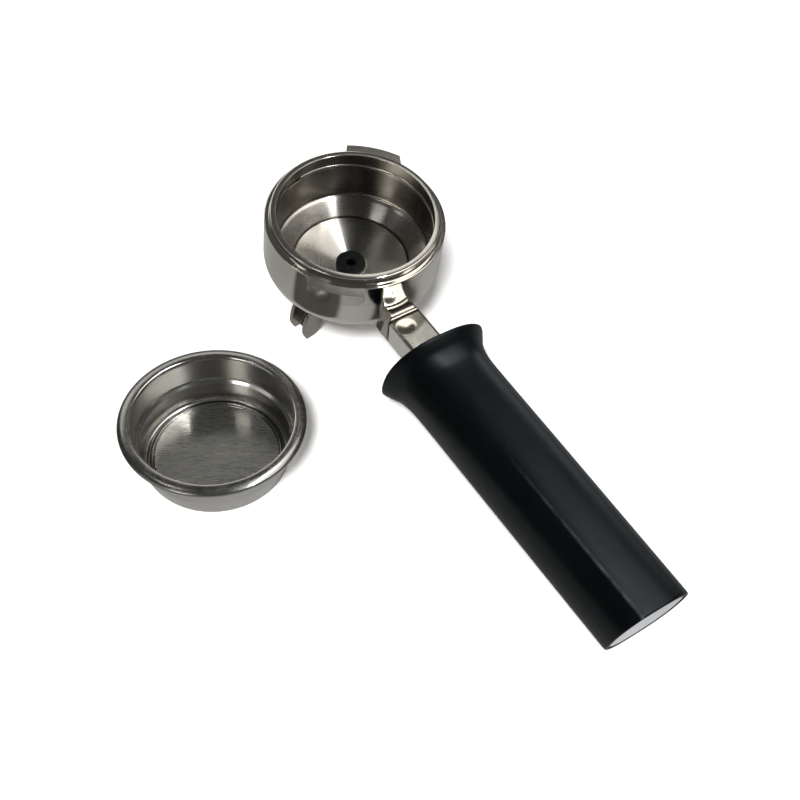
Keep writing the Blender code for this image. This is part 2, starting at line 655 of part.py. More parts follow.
def end_cap_carrier(handle):
    """Black plug in the open end: its flange pulls the grip against the core."""
    flange = PLATE_X[0] - GAP
    rings = [grip_ring(x, GRIP_WALL + GAP, 28) for x in (168.4 * MM, SEAT_X + GAP)]
    rings += [grip_ring(x, GRIP_END_WALL + GAP, 28) for x in (SEAT_X + GAP, flange)]
    obj = add("end_cap_carrier", loft(rings), BLACK_PLASTIC, handle, 40.0)
    screw = turned([(0.0, 160.0 * MM), (CAP_SCREW_R + GAP, 160.0 * MM), (CAP_SCREW_R + GAP, 174.0 * MM),
                    (CAP_SCREW_HEAD_R + GAP, 174.0 * MM), (CAP_SCREW_HEAD_R + GAP, 190.0 * MM),
                    (0.0, 190.0 * MM)], 24, "X")
    boolean(obj, on_stud(screw), "DIFFERENCE", "screw_hole", handle)
    for number, y in enumerate(PIN_PLACES_Y):
        boolean(obj, plate_pin(y, PIN_R + GAP, 174.5 * MM), "DIFFERENCE", f"pin_hole_{number}", handle)


def plate_pin(y, radius, start):
    bm = turned([(0.0, start), (radius, start), (radius, PLATE_X[0] + 1.2 * MM), (0.0, PLATE_X[0] + 1.2 * MM)],
                16, "X")
    bmesh.ops.translate(bm, vec=(0.0, y, 0.0), verts=bm.verts)
    return bm


def end_cap_screw(handle):
    """Socket head screw through the carrier into the tapped end of the stud."""
    head_start, head_end = 174.3 * MM, 178.0 * MM
    tip = STUD_X[1] - 11.0 * MM
    profile = [(0.0, tip), (CAP_SCREW_R - 0.3 * MM, tip), (CAP_SCREW_R, tip + 0.5 * MM),
               (CAP_SCREW_R, head_start), (CAP_SCREW_HEAD_R, head_start), (CAP_SCREW_HEAD_R, head_end - 0.4 * MM),
               (CAP_SCREW_HEAD_R - 0.4 * MM, head_end), (0.0, head_end)]
    obj = add("end_cap_screw", on_stud(turned(profile, 24, "X")), FASTENER_STEEL, handle)
    key = turned([(0.0, head_end - 2.0 * MM), (1.7 * MM, head_end - 2.0 * MM), (1.7 * MM, head_end + 1.0 * MM),
                  (0.0, head_end + 1.0 * MM)], 6, "X")
    boolean(obj, on_stud(key), "DIFFERENCE", "hex_socket", handle)


def end_plate(handle):
    """Satin plate that closes the end, held by two pins."""
    inset = GRIP_END_WALL + GAP
    rings = [grip_ring(PLATE_X[0], inset), grip_ring(PLATE_X[1] - 0.3 * MM, inset),
             grip_ring(PLATE_X[1], inset + 0.3 * MM)]
    obj = add("end_plate", loft(rings), SATIN_SILVER, handle, 40.0)
    for number, y in enumerate(PIN_PLACES_Y):
        boolean(obj, plate_pin(y, PIN_R, 174.9 * MM), "UNION", f"pin_{number}", handle)


# ---------------------------------------------------------------- basket

def basket_profile():
    """Sheet steel bowl: raised floor inside a foot ring, taper, ledge, straight wall, rolled flange."""
    top = BASKET_HEIGHT
    wall = BASKET_WALL_R
    sheet = BASKET_SHEET
    ledge = BASKET_LEDGE_Z
    foot = BASKET_FOOT_R
    roll_r = 1.0 * MM
    outside = [
        (0.0, 0.8 * MM),
        (foot - 0.8 * MM, 0.8 * MM),
        (foot - 0.4 * MM, 0.0),
        (foot + 0.4 * MM, 0.0),
        (foot + 1.3 * MM, 0.5 * MM),
        (foot + 2.0 * MM, 1.8 * MM),
        (foot + 2.4 * MM, 3.6 * MM),
        (wall - 1.2 * MM, ledge - 0.9 * MM),
        (wall - 0.3 * MM, ledge - 0.1 * MM),
        (wall, ledge + 0.6 * MM),
        (wall, top - 2.4 * MM),
        (wall + 0.7 * MM, top - 1.8 * MM),
        (BASKET_FLANGE_R - 2.2 * MM, top - 1.6 * MM),
    ]
    outside += arc((BASKET_FLANGE_R - roll_r, top - roll_r), roll_r, -100.0, 90.0, 6)
    inside = [
        (wall + 1.7 * MM, top - 0.15 * MM),
        (wall + 0.6 * MM, top - 0.6 * MM),
        (wall - sheet + 0.2 * MM, top - 1.4 * MM),
        (wall - sheet, top - 2.2 * MM),
        (wall - sheet, ledge + 0.6 * MM),
        (wall - sheet - 0.3 * MM, ledge - 0.1 * MM),
        (wall - sheet - 1.2 * MM, ledge - 0.9 * MM),
        (foot + 1.8 * MM, 3.6 * MM),
        (foot + 1.4 * MM, 2.2 * MM),
        (foot + 0.9 * MM, 1.2 * MM),
        (foot + 0.3 * MM, 0.8 * MM),
        (foot - 0.2 * MM, 0.8 * MM),
        (foot - 0.5 * MM, 0.8 * MM + sheet),
        (0.0, 0.8 * MM + sheet),
    ]
    return outside + inside


def filter_basket(table):
    add("filter_basket", turned(basket_profile(), 52), PRESSED_STEEL, table, 35.0)


# ---------------------------------------------------------------- placing

def lean_angle():
    """Angle about Y that puts the spout tips and the handle's lowest end edge on one level."""
    rise = math.radians(HANDLE_RISE_DEG)
    end = min(grip_ring(GRIP_STATIONS[-1][0] * MM, 0.4 * MM), key=lambda point: point.z)
    edge = Vector((end.x - 0.5 * MM, 0.0, end.z - 0.4 * MM))
    end_x = edge.x * math.cos(rise) - edge.z * math.sin(rise)
    end_z = -AXIS_DROP + edge.x * math.sin(rise) + edge.z * math.cos(rise)
    tip_x = 24.8 * MM * math.sin(math.radians(SPOUT_CLOCK_DEG)) + CHANNEL_HALF_WIDTH
    return math.atan2(end_z - TIP_Z, end_x - tip_x)


def world_corners():
    """Lowest and highest corners of every visible object, modifiers included."""
    graph = bpy.context.evaluated_depsgraph_get()
    low = Vector((1.0, 1.0, 1.0))
    high = -low
    for obj in bpy.context.scene.objects:
        if obj.type != "MESH" or obj.hide_render:
            continue
        solid = obj.evaluated_get(graph)
        mesh = solid.to_mesh()
        for vertex in mesh.vertices:
            point = solid.matrix_world @ vertex.co
            low = Vector(map(min, low, point))
            high = Vector(map(max, high, point))
        solid.to_mesh_clear()
    return low, high


def main():
    clear_scene()
    stand = empty("stand")
    cup = empty("cup_axis", stand, Matrix.Rotation(lean_angle(), 4, "Y"))
    rise = Matrix.Rotation(-math.radians(HANDLE_RISE_DEG), 4, "Y")
    handle = empty("handle_axis", cup, Matrix.Translation((0.0, 0.0, -AXIS_DROP)) @ rise)
    head_body(cup, handle)
    basket_spring(cup)
    outlet_plug(cup)
    spout_nipple(cup)
    spout_washer(cup)
    spout_lock_nut(cup)
    spout_body(cup)
    neck_bar(handle)
    neck_pin(handle)
    handle_stud(handle)
    mouth_bush(handle)
    handle_core(handle)
    handle_grip(handle)
    stud_washer(handle)
    stud_spring_washer(handle)
    stud_nut(handle)
    end_cap_carrier(handle)
    end_cap_screw(handle)
    end_plate(handle)

    # Stand the portafilter on Z = 0, put the basket beside it, then centre the whole on the origin.
    bpy.context.view_layer.update()
    low, high = world_corners()
    cup.location.z -= low.z
    table = empty("basket_axis", stand, Matrix.Translation((*BASKET_PLACE, 0.0)))
    filter_basket(table)
    bpy.context.view_layer.update()
    low, high = world_corners()
    stand.location = (-(low.x + high.x) / 2.0, -(low.y + high.y) / 2.0, 0.0)


main()
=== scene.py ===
import json
import math

import bmesh
import bpy
from mathutils import Matrix, Vector


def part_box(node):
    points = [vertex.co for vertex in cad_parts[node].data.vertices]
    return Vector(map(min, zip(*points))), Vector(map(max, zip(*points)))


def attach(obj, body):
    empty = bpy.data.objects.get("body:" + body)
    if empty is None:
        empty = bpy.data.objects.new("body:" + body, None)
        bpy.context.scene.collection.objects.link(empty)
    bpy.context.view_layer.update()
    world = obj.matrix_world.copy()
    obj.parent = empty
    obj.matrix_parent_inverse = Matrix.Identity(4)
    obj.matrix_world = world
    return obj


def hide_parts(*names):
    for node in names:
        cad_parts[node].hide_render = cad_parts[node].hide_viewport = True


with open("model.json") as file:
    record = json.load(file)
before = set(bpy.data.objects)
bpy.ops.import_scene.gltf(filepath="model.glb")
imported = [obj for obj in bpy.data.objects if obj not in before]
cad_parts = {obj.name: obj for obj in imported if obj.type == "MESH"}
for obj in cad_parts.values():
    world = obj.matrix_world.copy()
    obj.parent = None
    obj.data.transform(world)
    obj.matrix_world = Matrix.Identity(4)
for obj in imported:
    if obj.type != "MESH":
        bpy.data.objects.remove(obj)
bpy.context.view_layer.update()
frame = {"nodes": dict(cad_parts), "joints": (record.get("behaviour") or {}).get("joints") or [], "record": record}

MM = 0.001
BODY = "portafilter"


# ---------------------------------------------------------------- frames, read from the record

def mount(name):
    return next(m for m in frame["record"]["mounts"] if m["name"] == name)


def axes(origin, x_axis, z_axis):
    matrix = Matrix((x_axis, z_axis.cross(x_axis), z_axis)).transposed().to_4x4()
    matrix.translation = origin
    return matrix


RIM_MOUNT_R = 31.2 * MM              # the rim mount lies this far from the cup's axis, away from the handle
AXIS_DROP = 29.7 * MM                # the handle's axis meets the cup's axis this far below the rim
HANDLE_RISE = math.radians(4.0)

up = Vector(next(j for j in frame["joints"] if j["name"] == "plug_pull")["axis"]).normalized()
towards_handle = Vector((up.z, 0.0, -up.x))
rim_centre = Vector(mount("rim_seal")["pos_m"]) + towards_handle * RIM_MOUNT_R
CUP = axes(rim_centre, towards_handle, up)
HANDLE = CUP @ Matrix.Translation((0.0, 0.0, -AXIS_DROP)) @ Matrix.Rotation(-HANDLE_RISE, 4, "Y")
basket_low, basket_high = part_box("filter_basket")
BASKET = Matrix.Translation(((basket_low.x + basket_high.x) / 2.0, (basket_low.y + basket_high.y) / 2.0, 0.0))


# ---------------------------------------------------------------- camera and studio

WARM = (1.0, 0.98, 0.95)
COOL = (0.90, 0.96, 1.0)
AIM = Vector((0.0, 0.0, 0.03))        # the softboxes face this point, over the middle of the row
STAND_DISTANCE, PANEL_HEIGHT = 1.1, 1.0
SUN_STRENGTH, SUN_WIDTH_DEG = 1.15, 13.0
FLOOR_HALF = 6.0
FLOOR_SEEN = 3.7                      # the floor's level for the camera
FLOOR_PATCHES = (0.75, 1.30)          # its darkest and brightest patch for everything else
WORLD_SEEN, WORLD_LIGHT = 1.0, 0.07   # the world's level for the camera, and for everything else


def make_camera():
    """The lens and place are given in the cup's frame: rim centre, +X to the handle, +Z up its axis."""
    data = bpy.data.cameras.new("camera")
    data.sensor_width = 36.0
    data.lens = 55.44
    data.shift_x = -0.0075
    data.shift_y = 0.01625
    data.clip_start = 0.01
    right = Vector((0.541264, 0.834146, 0.10599))
    down = Vector((0.73066, -0.404199, -0.550236))
    away = Vector((-0.416136, 0.375265, -0.828255))
    eye = Vector((0.258362, -0.188914, 0.344722))
    place = Matrix((right, -down, -away)).transposed().to_4x4()
    place.translation = eye
    camera = bpy.data.objects.new("camera", data)
    bpy.context.scene.collection.objects.link(camera)
    camera.matrix_world = CUP @ place
    bpy.context.scene.camera = camera


def softbox(name, azimuth, elevation, width, height, radiance, colour=(1.0, 1.0, 1.0)):
    """Rectangular light that faces AIM from a direction given in degrees in the cup's frame, where
    azimuth 0 is the handle; radiance is what a mirror would show."""
    data = bpy.data.lights.new(name, "AREA")
    data.shape = "RECTANGLE"
    data.size = width
    data.size_y = height
    data.energy = radiance * math.pi * width * height
    data.color = colour
    light = bpy.data.objects.new(name, data)
    turn, lift = math.radians(azimuth), math.radians(elevation)
    towards = Vector((math.cos(turn) * math.cos(lift), math.sin(turn) * math.cos(lift), math.sin(lift)))
    towards = (CUP.to_3x3() @ towards).normalized()
    light.location = AIM + towards * STAND_DISTANCE
    light.rotation_euler = towards.to_track_quat("Z", "Y").to_euler()
    light.visible_camera = False
    bpy.context.scene.collection.objects.link(light)
    return light


def panel(name, x, y, width, depth, radiance, turn_deg, colour=(1.0, 1.0, 1.0)):
    """Rectangular light hung over the cup, square to its axis, its middle at (x, y) in the cup's frame."""
    light = softbox(name, 0.0, 90.0, width, depth, radiance, colour)
    light.location = CUP @ Vector((x, y, PANEL_HEIGHT))
    light.rotation_euler = (CUP.to_3x3() @ Matrix.Rotation(math.radians(turn_deg), 3, "Z")).to_euler()
    return light


def make_studio(floor):
    """A panel overhead with a bright strip along its near edge, and weaker lights round about. They
    light the object only; the floor has a light of its own, whose short shadows fall to the right."""
    grip, disc, near_ear = (bpy.data.objects[name] for name in ("grip_shell", "end_disc", "ear_0"))
    overhead = panel("overhead", 0.20, 0.58, 1.04, 0.56, 2.0, -16.0, WARM)
    edge = panel("edge", 0.25, 0.225, 0.9, 0.035, 40.0, -16.0)
    link_lights("not_the_floor", [overhead, edge], [floor], "EXCLUDE")
    spot = panel("spot", -0.32, -0.47, 0.13, 0.13, 7.0, 0.0, (1.0, 0.98, 0.96))
    glow = panel("bar_glow", -0.705, 0.565, 0.17, 0.17, 0.95, 0.0, (1.0, 0.98, 0.94))
    broad = softbox("broad", 171.0, 25.0, 0.95, 0.50, 1.1, WARM)
    side = softbox("side", 262.0, 22.0, 0.60, 0.35, 0.8)
    front = softbox("front", 283.0, 40.0, 0.30, 0.34, 4.2, WARM)
    link_lights("metal_only", [spot, glow, broad], [floor, grip], "EXCLUDE")
    link_lights("not_the_ear", [side, front], [floor, grip, near_ear], "EXCLUDE")
    grip_side = softbox("grip_side", 117.0, 14.0, 0.55, 0.36, 1.6, COOL)
    link_lights("grip_only", [grip_side], [grip], "INCLUDE")
    end = softbox("end", -15.0, 24.0, 0.5, 0.5, 9.0)
    link_lights("disc_only", [end], [disc], "INCLUDE")
    table = softbox("table", 307.0, 59.5, 0.6, 0.6, 1.0)
    table.data.type = "SUN"           # of which only the direction counts, and the two values below
    table.data.energy = SUN_STRENGTH
    table.data.angle = math.radians(SUN_WIDTH_DEG)
    link_lights("floor_only", [table], [floor], "INCLUDE")


def link_lights(name, lights, objects, state):
    """Make the lights light only the objects (INCLUDE), or everything but them (EXCLUDE)."""
    group = bpy.data.collections.new(name)
    for obj in objects:
        group.objects.link(obj)
    for link in group.collection_objects:
        link.light_linking.link_state = state
    for light in lights:
        light.light_linking.receiver_collection = group


def make_floor():
    """Table top, white to the camera and mid-grey to reflections."""
    mesh = bpy.data.meshes.new("floor")
    corners = [(x * FLOOR_HALF, y * FLOOR_HALF, 0.0) for x, y in ((-1, -1), (1, -1), (1, 1), (-1, 1))]
    mesh.from_pydata(corners, [], [(0, 1, 2, 3)])
    floor = bpy.data.objects.new("floor", mesh)
    bpy.context.scene.collection.objects.link(floor)
    white = bpy.data.materials.new("floor_white")
    white.use_nodes = True
    tree = white.node_tree
    tree.nodes.clear()
    at = make(tree, "ShaderNodeTexCoord").outputs["Object"]
    patches = ramp(tree, noise(tree, at, 7.0, 2.0), 0.35, 0.65, *FLOOR_PATCHES)
    seen = make(tree, "ShaderNodeLightPath").outputs["Is Camera Ray"]
    diffuse = make(tree, "ShaderNodeBsdfDiffuse", {"Color": ramp(tree, seen, 0.0, 1.0, patches, FLOOR_SEEN)})
    make(tree, "ShaderNodeOutputMaterial", {"Surface": diffuse.outputs[0]})
    mesh.materials.append(white)
    return floor


def make_world():
    world = bpy.data.worlds.new("studio")
    bpy.context.scene.world = world
    world.use_nodes = True
    tree = world.node_tree
    background = tree.nodes["Background"]
    background.inputs["Color"].default_value = (1.0, 0.99, 0.97, 1.0)
    seen = make(tree, "ShaderNodeLightPath").outputs["Is Camera Ray"]
    connect(tree, ramp(tree, seen, 0.0, 1.0, WORLD_LIGHT, WORLD_SEEN), background.inputs["Strength"])


# ---------------------------------------------------------------- meshes

NEARLY_STRAIGHT_DEG = 14.0
SIDE_SHARE = 0.45                     # a rounded corner takes up at most this share of a side
TINY = 1e-7


def rounded(points, radius, steps, closed=True):
    """Round the corners of an outline; corners on the axis and nearly straight ones stay."""
    out = []
    count = len(points)
    for i, point in enumerate(points):
        here, before, after = Vector(point), Vector(points[i - 1]), Vector(points[(i + 1) % count])
        a, b = before - here, after - here
        is_end = not closed and i in (0, count - 1)
        fixed = here.x == 0.0 or is_end or min(a.length, b.length) < TINY
        turn = 0.0 if fixed else math.pi - a.angle(b)
        if turn < math.radians(NEARLY_STRAIGHT_DEG):
            out.append(here)
            continue
        cut = min(radius * math.tan(turn / 2.0), SIDE_SHARE * a.length, SIDE_SHARE * b.length)
        start, end = here + a.normalized() * cut, here + b.normalized() * cut
        for step in range(steps + 1):
            t = step / steps
            out.append(start * (1 - t) ** 2 + here * 2 * t * (1 - t) + end * t ** 2)
    return out


def arc(centre, radius, start_deg, end_deg, steps):
    """Points of an arc about a centre, both ends included."""
    points = []
    for step in range(steps + 1):
        turn = math.radians(start_deg + (end_deg - start_deg) * step / steps)
        points.append((centre[0] + radius * math.cos(turn), centre[1] + radius * math.sin(turn)))
    return points


def turned(profile, segments):
    """Solid of revolution about Z of a closed (radius, height) outline."""
    bm = bmesh.new()
    rings = []
    for radius, height in profile:
        if radius == 0.0:
            rings.append([bm.verts.new((0.0, 0.0, height))] * segments)
            continue
        ring = []
        for step in range(segments):
            turn = 2.0 * math.pi * step / segments
            ring.append(bm.verts.new((radius * math.cos(turn), radius * math.sin(turn), height)))
        rings.append(ring)
    for here, there in zip(rings, rings[1:] + rings[:1]):
        if here[0] is here[1] and there[0] is there[1]:
            continue
        for step in range(segments):
            after = (step + 1) % segments
            corners = [here[step], here[after], there[after], there[step]]
            bm.faces.new(list(dict.fromkeys(corners)))
    return bm


def loft(rings, closed=False):
    """Solid through rings of points; its ends are capped, or joined to each other if it is closed."""
    bm = bmesh.new()
    rows = [[bm.verts.new(point) for point in ring] for ring in rings]
    count = len(rows[0])
    pairs = list(zip(rows, rows[1:]))
    if closed:
        pairs.append((rows[-1], rows[0]))
    for here, there in pairs:
        for step in range(count):
            after = (step + 1) % count
            bm.faces.new((here[step], here[after], there[after], there[step]))
    if not closed:
        bm.faces.new(rows[0][::-1])
        bm.faces.new(rows[-1])
    return bm


def smooth_path(points, steps):
    """Catmull-Rom curve through the points."""
    out = []
    for i in range(len(points) - 1):
        p1, p2 = Vector(points[i]), Vector(points[i + 1])
        p0 = Vector(points[i - 1]) if i else p1 * 2 - p2
        p3 = Vector(points[i + 2]) if i + 2 < len(points) else p2 * 2 - p1
        for step in range(steps):
            t = step / steps
            out.append(0.5 * (2 * p1 + (p2 - p0) * t + (2 * p0 - 5 * p1 + 4 * p2 - p3) * t ** 2
                              + (3 * p1 - p0 - 3 * p2 + p3) * t ** 3))
    out.append(Vector(points[-1]))
    return out


def piece(name, bm, matrix, material, body, replaced, bevel=0.0):
    """Make a visible piece from a bmesh given in the frame of matrix."""
    bmesh.ops.recalc_face_normals(bm, faces=bm.faces)
    mesh = bpy.data.meshes.new(name)
    bm.to_mesh(mesh)
    bm.free()
    mesh.shade_smooth()
    mesh.materials.append(material)
    obj = bpy.data.objects.new(name, mesh)
    bpy.context.scene.collection.objects.link(obj)
    obj.matrix_world = matrix
    if bevel:
        modifier = obj.modifiers.new("rounding", "BEVEL")
        modifier.width = bevel
        modifier.segments = 3
        modifier.limit_method = "ANGLE"
        modifier.angle_limit = math.radians(30.0)
    normals = obj.modifiers.new("normals", "WEIGHTED_NORMAL")
    normals.keep_sharp = False
    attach(obj, body)
    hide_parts(*replaced)
    return obj


# ---------------------------------------------------------------- materials

WAVE = 0.02 * MM                      # depths of a surface's waves, hairlines and turning marks
HAIRLINE = 0.004 * MM
RING_DEPTH = 0.006 * MM
MOULD_WAVE = 0.06 * MM
BAND_GAIN = 1.15                      # brightens all painted reflection sectors alike
GROOVE_EDGE = (0.16 * MM, 0.42 * MM)  # a painted shade ring in a groove is darkest to the first distance, gone at the second
GROOVE_SHADE = 0.1
CREASE_EDGE = (0.1 * MM, 0.8 * MM)    # the same for the painted highlight line along a crease
CREASE_HIGHLIGHT_COLOUR = (0.12, 0.15, 0.17, 1.0)


def connect(tree, value, socket):
    if isinstance(value, bpy.types.NodeSocket):
        tree.links.new(value, socket)
    else:
        socket.default_value = value


def make(tree, kind, inputs=None, **settings):
    """New node with these settings; each input is a value or the socket that feeds it."""
    made = tree.nodes.new(kind)
    for key, value in settings.items():
        setattr(made, key, value)
    for key, value in (inputs or {}).items():
        connect(tree, value, made.inputs[key])
    return made


def maths(tree, operation, a, b=0.0):
    return make(tree, "ShaderNodeMath", {0: a, 1: b}, operation=operation).outputs[0]


def noise(tree, vector, scale, detail=4.0, roughness=0.55):
    return make(tree, "ShaderNodeTexNoise", {"Vector": vector, "Scale": scale, "Detail": detail,
                                             "Roughness": roughness}).outputs["Fac"]


def ramp(tree, value, low, high, to_low, to_high):
    return make(tree, "ShaderNodeMapRange", {"Value": value, "From Min": low, "From Max": high,
                                             "To Min": to_low, "To Max": to_high}).outputs[0]


def scaled(tree, vector, scale):
    return make(tree, "ShaderNodeMapping", {"Vector": vector, "Scale": scale}).outputs[0]


def mixed(tree, share, first, second, blend="MIX"):
    """Mix two colours, which a mix node takes at its inputs 6 and 7."""
    mix = make(tree, "ShaderNodeMix", data_type="RGBA", blend_type=blend)
    connect(tree, share, mix.inputs[0])
    connect(tree, first, mix.inputs[6])
    connect(tree, second, mix.inputs[7])
    return mix.outputs[2]


def tint(tree, share, dark, light):
    return mixed(tree, share, (*dark, 1.0), (*light, 1.0))


def recolour(tree, share, colour, blend="MIX"):
    """Mix a colour over the base colour that the shader has."""
    base = tree.nodes["Principled BSDF"].inputs["Base Color"]
    connect(tree, mixed(tree, share, base.links[0].from_socket, colour, blend), base)


def bump(tree, height, distance, below=None):
    inputs = {"Height": height, "Distance": distance, "Strength": 1.0}
    if below is not None:
        inputs["Normal"] = below
    return make(tree, "ShaderNodeBump", inputs).outputs[0]


def blank(name, metallic):
    """New material, its node tree, its shader and its object coordinates."""
    material = bpy.data.materials.new(name)
    material.use_nodes = True
    tree = material.node_tree
    shader = tree.nodes["Principled BSDF"]
    shader.inputs["Metallic"].default_value = metallic
    coordinates = make(tree, "ShaderNodeTexCoord").outputs["Object"]
    return material, tree, shader, coordinates


def around(tree, coordinates):
    """Radius, height and turn of a point about the object's Z axis, as three sockets."""
    x, y, z = make(tree, "ShaderNodeSeparateXYZ", {0: coordinates}).outputs
    squares = maths(tree, "ADD", maths(tree, "MULTIPLY", x, x), maths(tree, "MULTIPLY", y, y))
    return maths(tree, "SQRT", squares), z, maths(tree, "ARCTAN2", y, x)


def polished(name, dark, light, roughness, wave=WAVE):
    """Polished stainless steel: faint cloudiness, hairline scratches and a slightly wavy surface."""
    material, tree, shader, at = blank(name, 1.0)
    clouds = noise(tree, at, 60.0, 5.0)
    connect(tree, tint(tree, clouds, dark, light), shader.inputs["Base Color"])
    hair = noise(tree, scaled(tree, at, (900.0, 5200.0, 900.0)), 1.0, 3.0, 0.7)
    rub = noise(tree, at, 220.0, 6.0, 0.7)
    rough = maths(tree, "ADD", ramp(tree, rub, 0.3, 0.75, roughness * 0.75, roughness * 1.5),
                  ramp(tree, hair, 0.55, 0.8, 0.0, 0.08))
    connect(tree, rough, shader.inputs["Roughness"])
    low = bump(tree, noise(tree, at, 38.0, 2.0), wave)
    connect(tree, bump(tree, hair, HAIRLINE, low), shader.inputs["Normal"])
    return material


def lathe_turned(name, dark, light, roughness, anisotropic, ring_scale=5200.0):
    """Steel finished on a lathe: fine rings about the axis, which stretch the highlights across them."""
    material, tree, shader, at = blank(name, 1.0)
    radius, height, turn = around(tree, at)
    along = make(tree, "ShaderNodeCombineXYZ", {0: maths(tree, "MULTIPLY", radius, ring_scale),
                                                1: maths(tree, "MULTIPLY", height, ring_scale),
                                                2: maths(tree, "MULTIPLY", turn, 1.4)}).outputs[0]
    rings = noise(tree, along, 1.0, 3.0, 0.7)
    clouds = noise(tree, at, 45.0, 5.0)
    share = maths(tree, "ADD", maths(tree, "MULTIPLY", rings, 0.5), maths(tree, "MULTIPLY", clouds, 0.5))
    connect(tree, tint(tree, share, dark, light), shader.inputs["Base Color"])
    rough = maths(tree, "ADD", ramp(tree, clouds, 0.3, 0.7, roughness * 0.8, roughness * 1.3),
                  ramp(tree, rings, 0.4, 0.8, 0.0, 0.07))
    connect(tree, rough, shader.inputs["Roughness"])
    shader.inputs["Anisotropic"].default_value = anisotropic
    shader.inputs["Anisotropic Rotation"].default_value = 0.25
    tangent = make(tree, "ShaderNodeTangent", direction_type="RADIAL", axis="Z").outputs[0]
    connect(tree, tangent, shader.inputs["Tangent"])
    low = bump(tree, noise(tree, at, 30.0, 2.0), WAVE)
    connect(tree, bump(tree, rings, RING_DEPTH, low), shader.inputs["Normal"])
    return material


def shaded_around(material, stops, grooves=()):
    """Painted reflections in sectors about the axis, and painted shade in rings at grooves: stops are (degrees,
    brightness), grooves are radii.
    """
    tree = material.node_tree
    radius, _, turn = around(tree, make(tree, "ShaderNodeTexCoord").outputs["Object"])
    band = make(tree, "ShaderNodeValToRGB")
    share = maths(tree, "FRACT", maths(tree, "DIVIDE", turn, 2.0 * math.pi))
    connect(tree, share, band.inputs[0])
    points = band.color_ramp.elements
    while len(points) < len(stops):
        points.new(0.5)
    for point, (deg, _) in zip(points, stops):
        point.position = deg / 360.0
    for point, (_, value) in zip(points, stops):
        point.color = (value, value, value, 1.0)
    level = maths(tree, "MULTIPLY", band.outputs[0], BAND_GAIN)
    # painted shade along each groove
    for groove in grooves:
        away = maths(tree, "ABSOLUTE", maths(tree, "SUBTRACT", radius, groove))
        level = maths(tree, "MULTIPLY", level, ramp(tree, away, *GROOVE_EDGE, GROOVE_SHADE, 1.0))
    recolour(tree, 1.0, level, "MULTIPLY")


def moulded(name, dark, light, roughness, grain=0.02 * MM, specular=0.3):
    """Moulded plastic: fine grain, rubbed patches and a few faint scuffs."""
    material, tree, shader, at = blank(name, 0.0)
    clouds = noise(tree, at, 28.0, 5.0)
    connect(tree, tint(tree, clouds, dark, light), shader.inputs["Base Color"])
    shader.inputs["Specular IOR Level"].default_value = specular
    shader.inputs["Specular Tint"].default_value = (0.86, 0.95, 1.0, 1.0)
    rub = noise(tree, scaled(tree, at, (1.0, 3.0, 3.0)), 45.0, 6.0, 0.65)
    speck = noise(tree, at, 2600.0, 2.0)
    scuff = noise(tree, scaled(tree, at, (90.0, 900.0, 500.0)), 1.0, 4.0, 0.7)
    rough = maths(tree, "ADD", ramp(tree, rub, 0.3, 0.7, roughness * 0.85, roughness * 1.2),
                  ramp(tree, scuff, 0.6, 0.75, 0.0, 0.08))
    connect(tree, rough, shader.inputs["Roughness"])
    low = bump(tree, noise(tree, at, 70.0, 3.0), MOULD_WAVE)
    connect(tree, bump(tree, speck, grain, low), shader.inputs["Normal"])
    return material


def crease_highlight(material, y, start_x, full_x):
    """Painted highlight: a paler line along a crease at y, fading in between two places along X."""
    tree = material.node_tree
    at = make(tree, "ShaderNodeTexCoord").outputs["Object"]
    at_x, at_y, at_z = make(tree, "ShaderNodeSeparateXYZ", {0: at}).outputs
    away = maths(tree, "ABSOLUTE", maths(tree, "SUBTRACT", at_y, y))
    line = ramp(tree, away, *CREASE_EDGE, 1.0, 0.0)
    line = maths(tree, "MULTIPLY", line, ramp(tree, at_x, start_x, full_x, 0.0, 1.0))
    line = maths(tree, "MULTIPLY", line, ramp(tree, noise(tree, at, 160.0, 4.0, 0.7), 0.3, 0.65, 0.2, 1.0))
    line = maths(tree, "MULTIPLY", line, maths(tree, "GREATER_THAN", at_z, 0.0))
    recolour(tree, line, CREASE_HIGHLIGHT_COLOUR)


def plain_metal(name, dark, light, roughness, scale=400.0, metallic=1.0):
    """Fine even grain in colour, roughness and bump."""
    material, tree, shader, at = blank(name, metallic)
    grain = noise(tree, at, scale, 5.0, 0.65)
    connect(tree, tint(tree, grain, dark, light), shader.inputs["Base Color"])
    connect(tree, ramp(tree, grain, 0.3, 0.75, roughness * 0.8, roughness * 1.35), shader.inputs["Roughness"])
    connect(tree, bump(tree, grain, WAVE), shader.inputs["Normal"])
    return material


def brushed(name, dark, light, roughness, turn_deg):
    """Sheet brushed one way: long fine streaks in colour, roughness and bump."""
    material, tree, shader, at = blank(name, 1.0)
    turn = (0.0, 0.0, math.radians(-turn_deg))
    turned_at = make(tree, "ShaderNodeMapping", {"Vector": at, "Rotation": turn}).outputs[0]
    streaks = noise(tree, scaled(tree, turned_at, (260.0, 4200.0, 300.0)), 1.0, 4.0, 0.7)
    broad = noise(tree, scaled(tree, turned_at, (60.0, 420.0, 100.0)), 1.0, 3.0, 0.6)
    share = maths(tree, "ADD", maths(tree, "MULTIPLY", streaks, 0.6), maths(tree, "MULTIPLY", broad, 0.4))
    connect(tree, tint(tree, ramp(tree, share, 0.3, 0.7, 0.0, 1.0), dark, light), shader.inputs["Base Color"])
    connect(tree, ramp(tree, streaks, 0.3, 0.7, roughness * 0.8, roughness * 1.3), shader.inputs["Roughness"])
    connect(tree, bump(tree, share, WAVE), shader.inputs["Normal"])
    return material
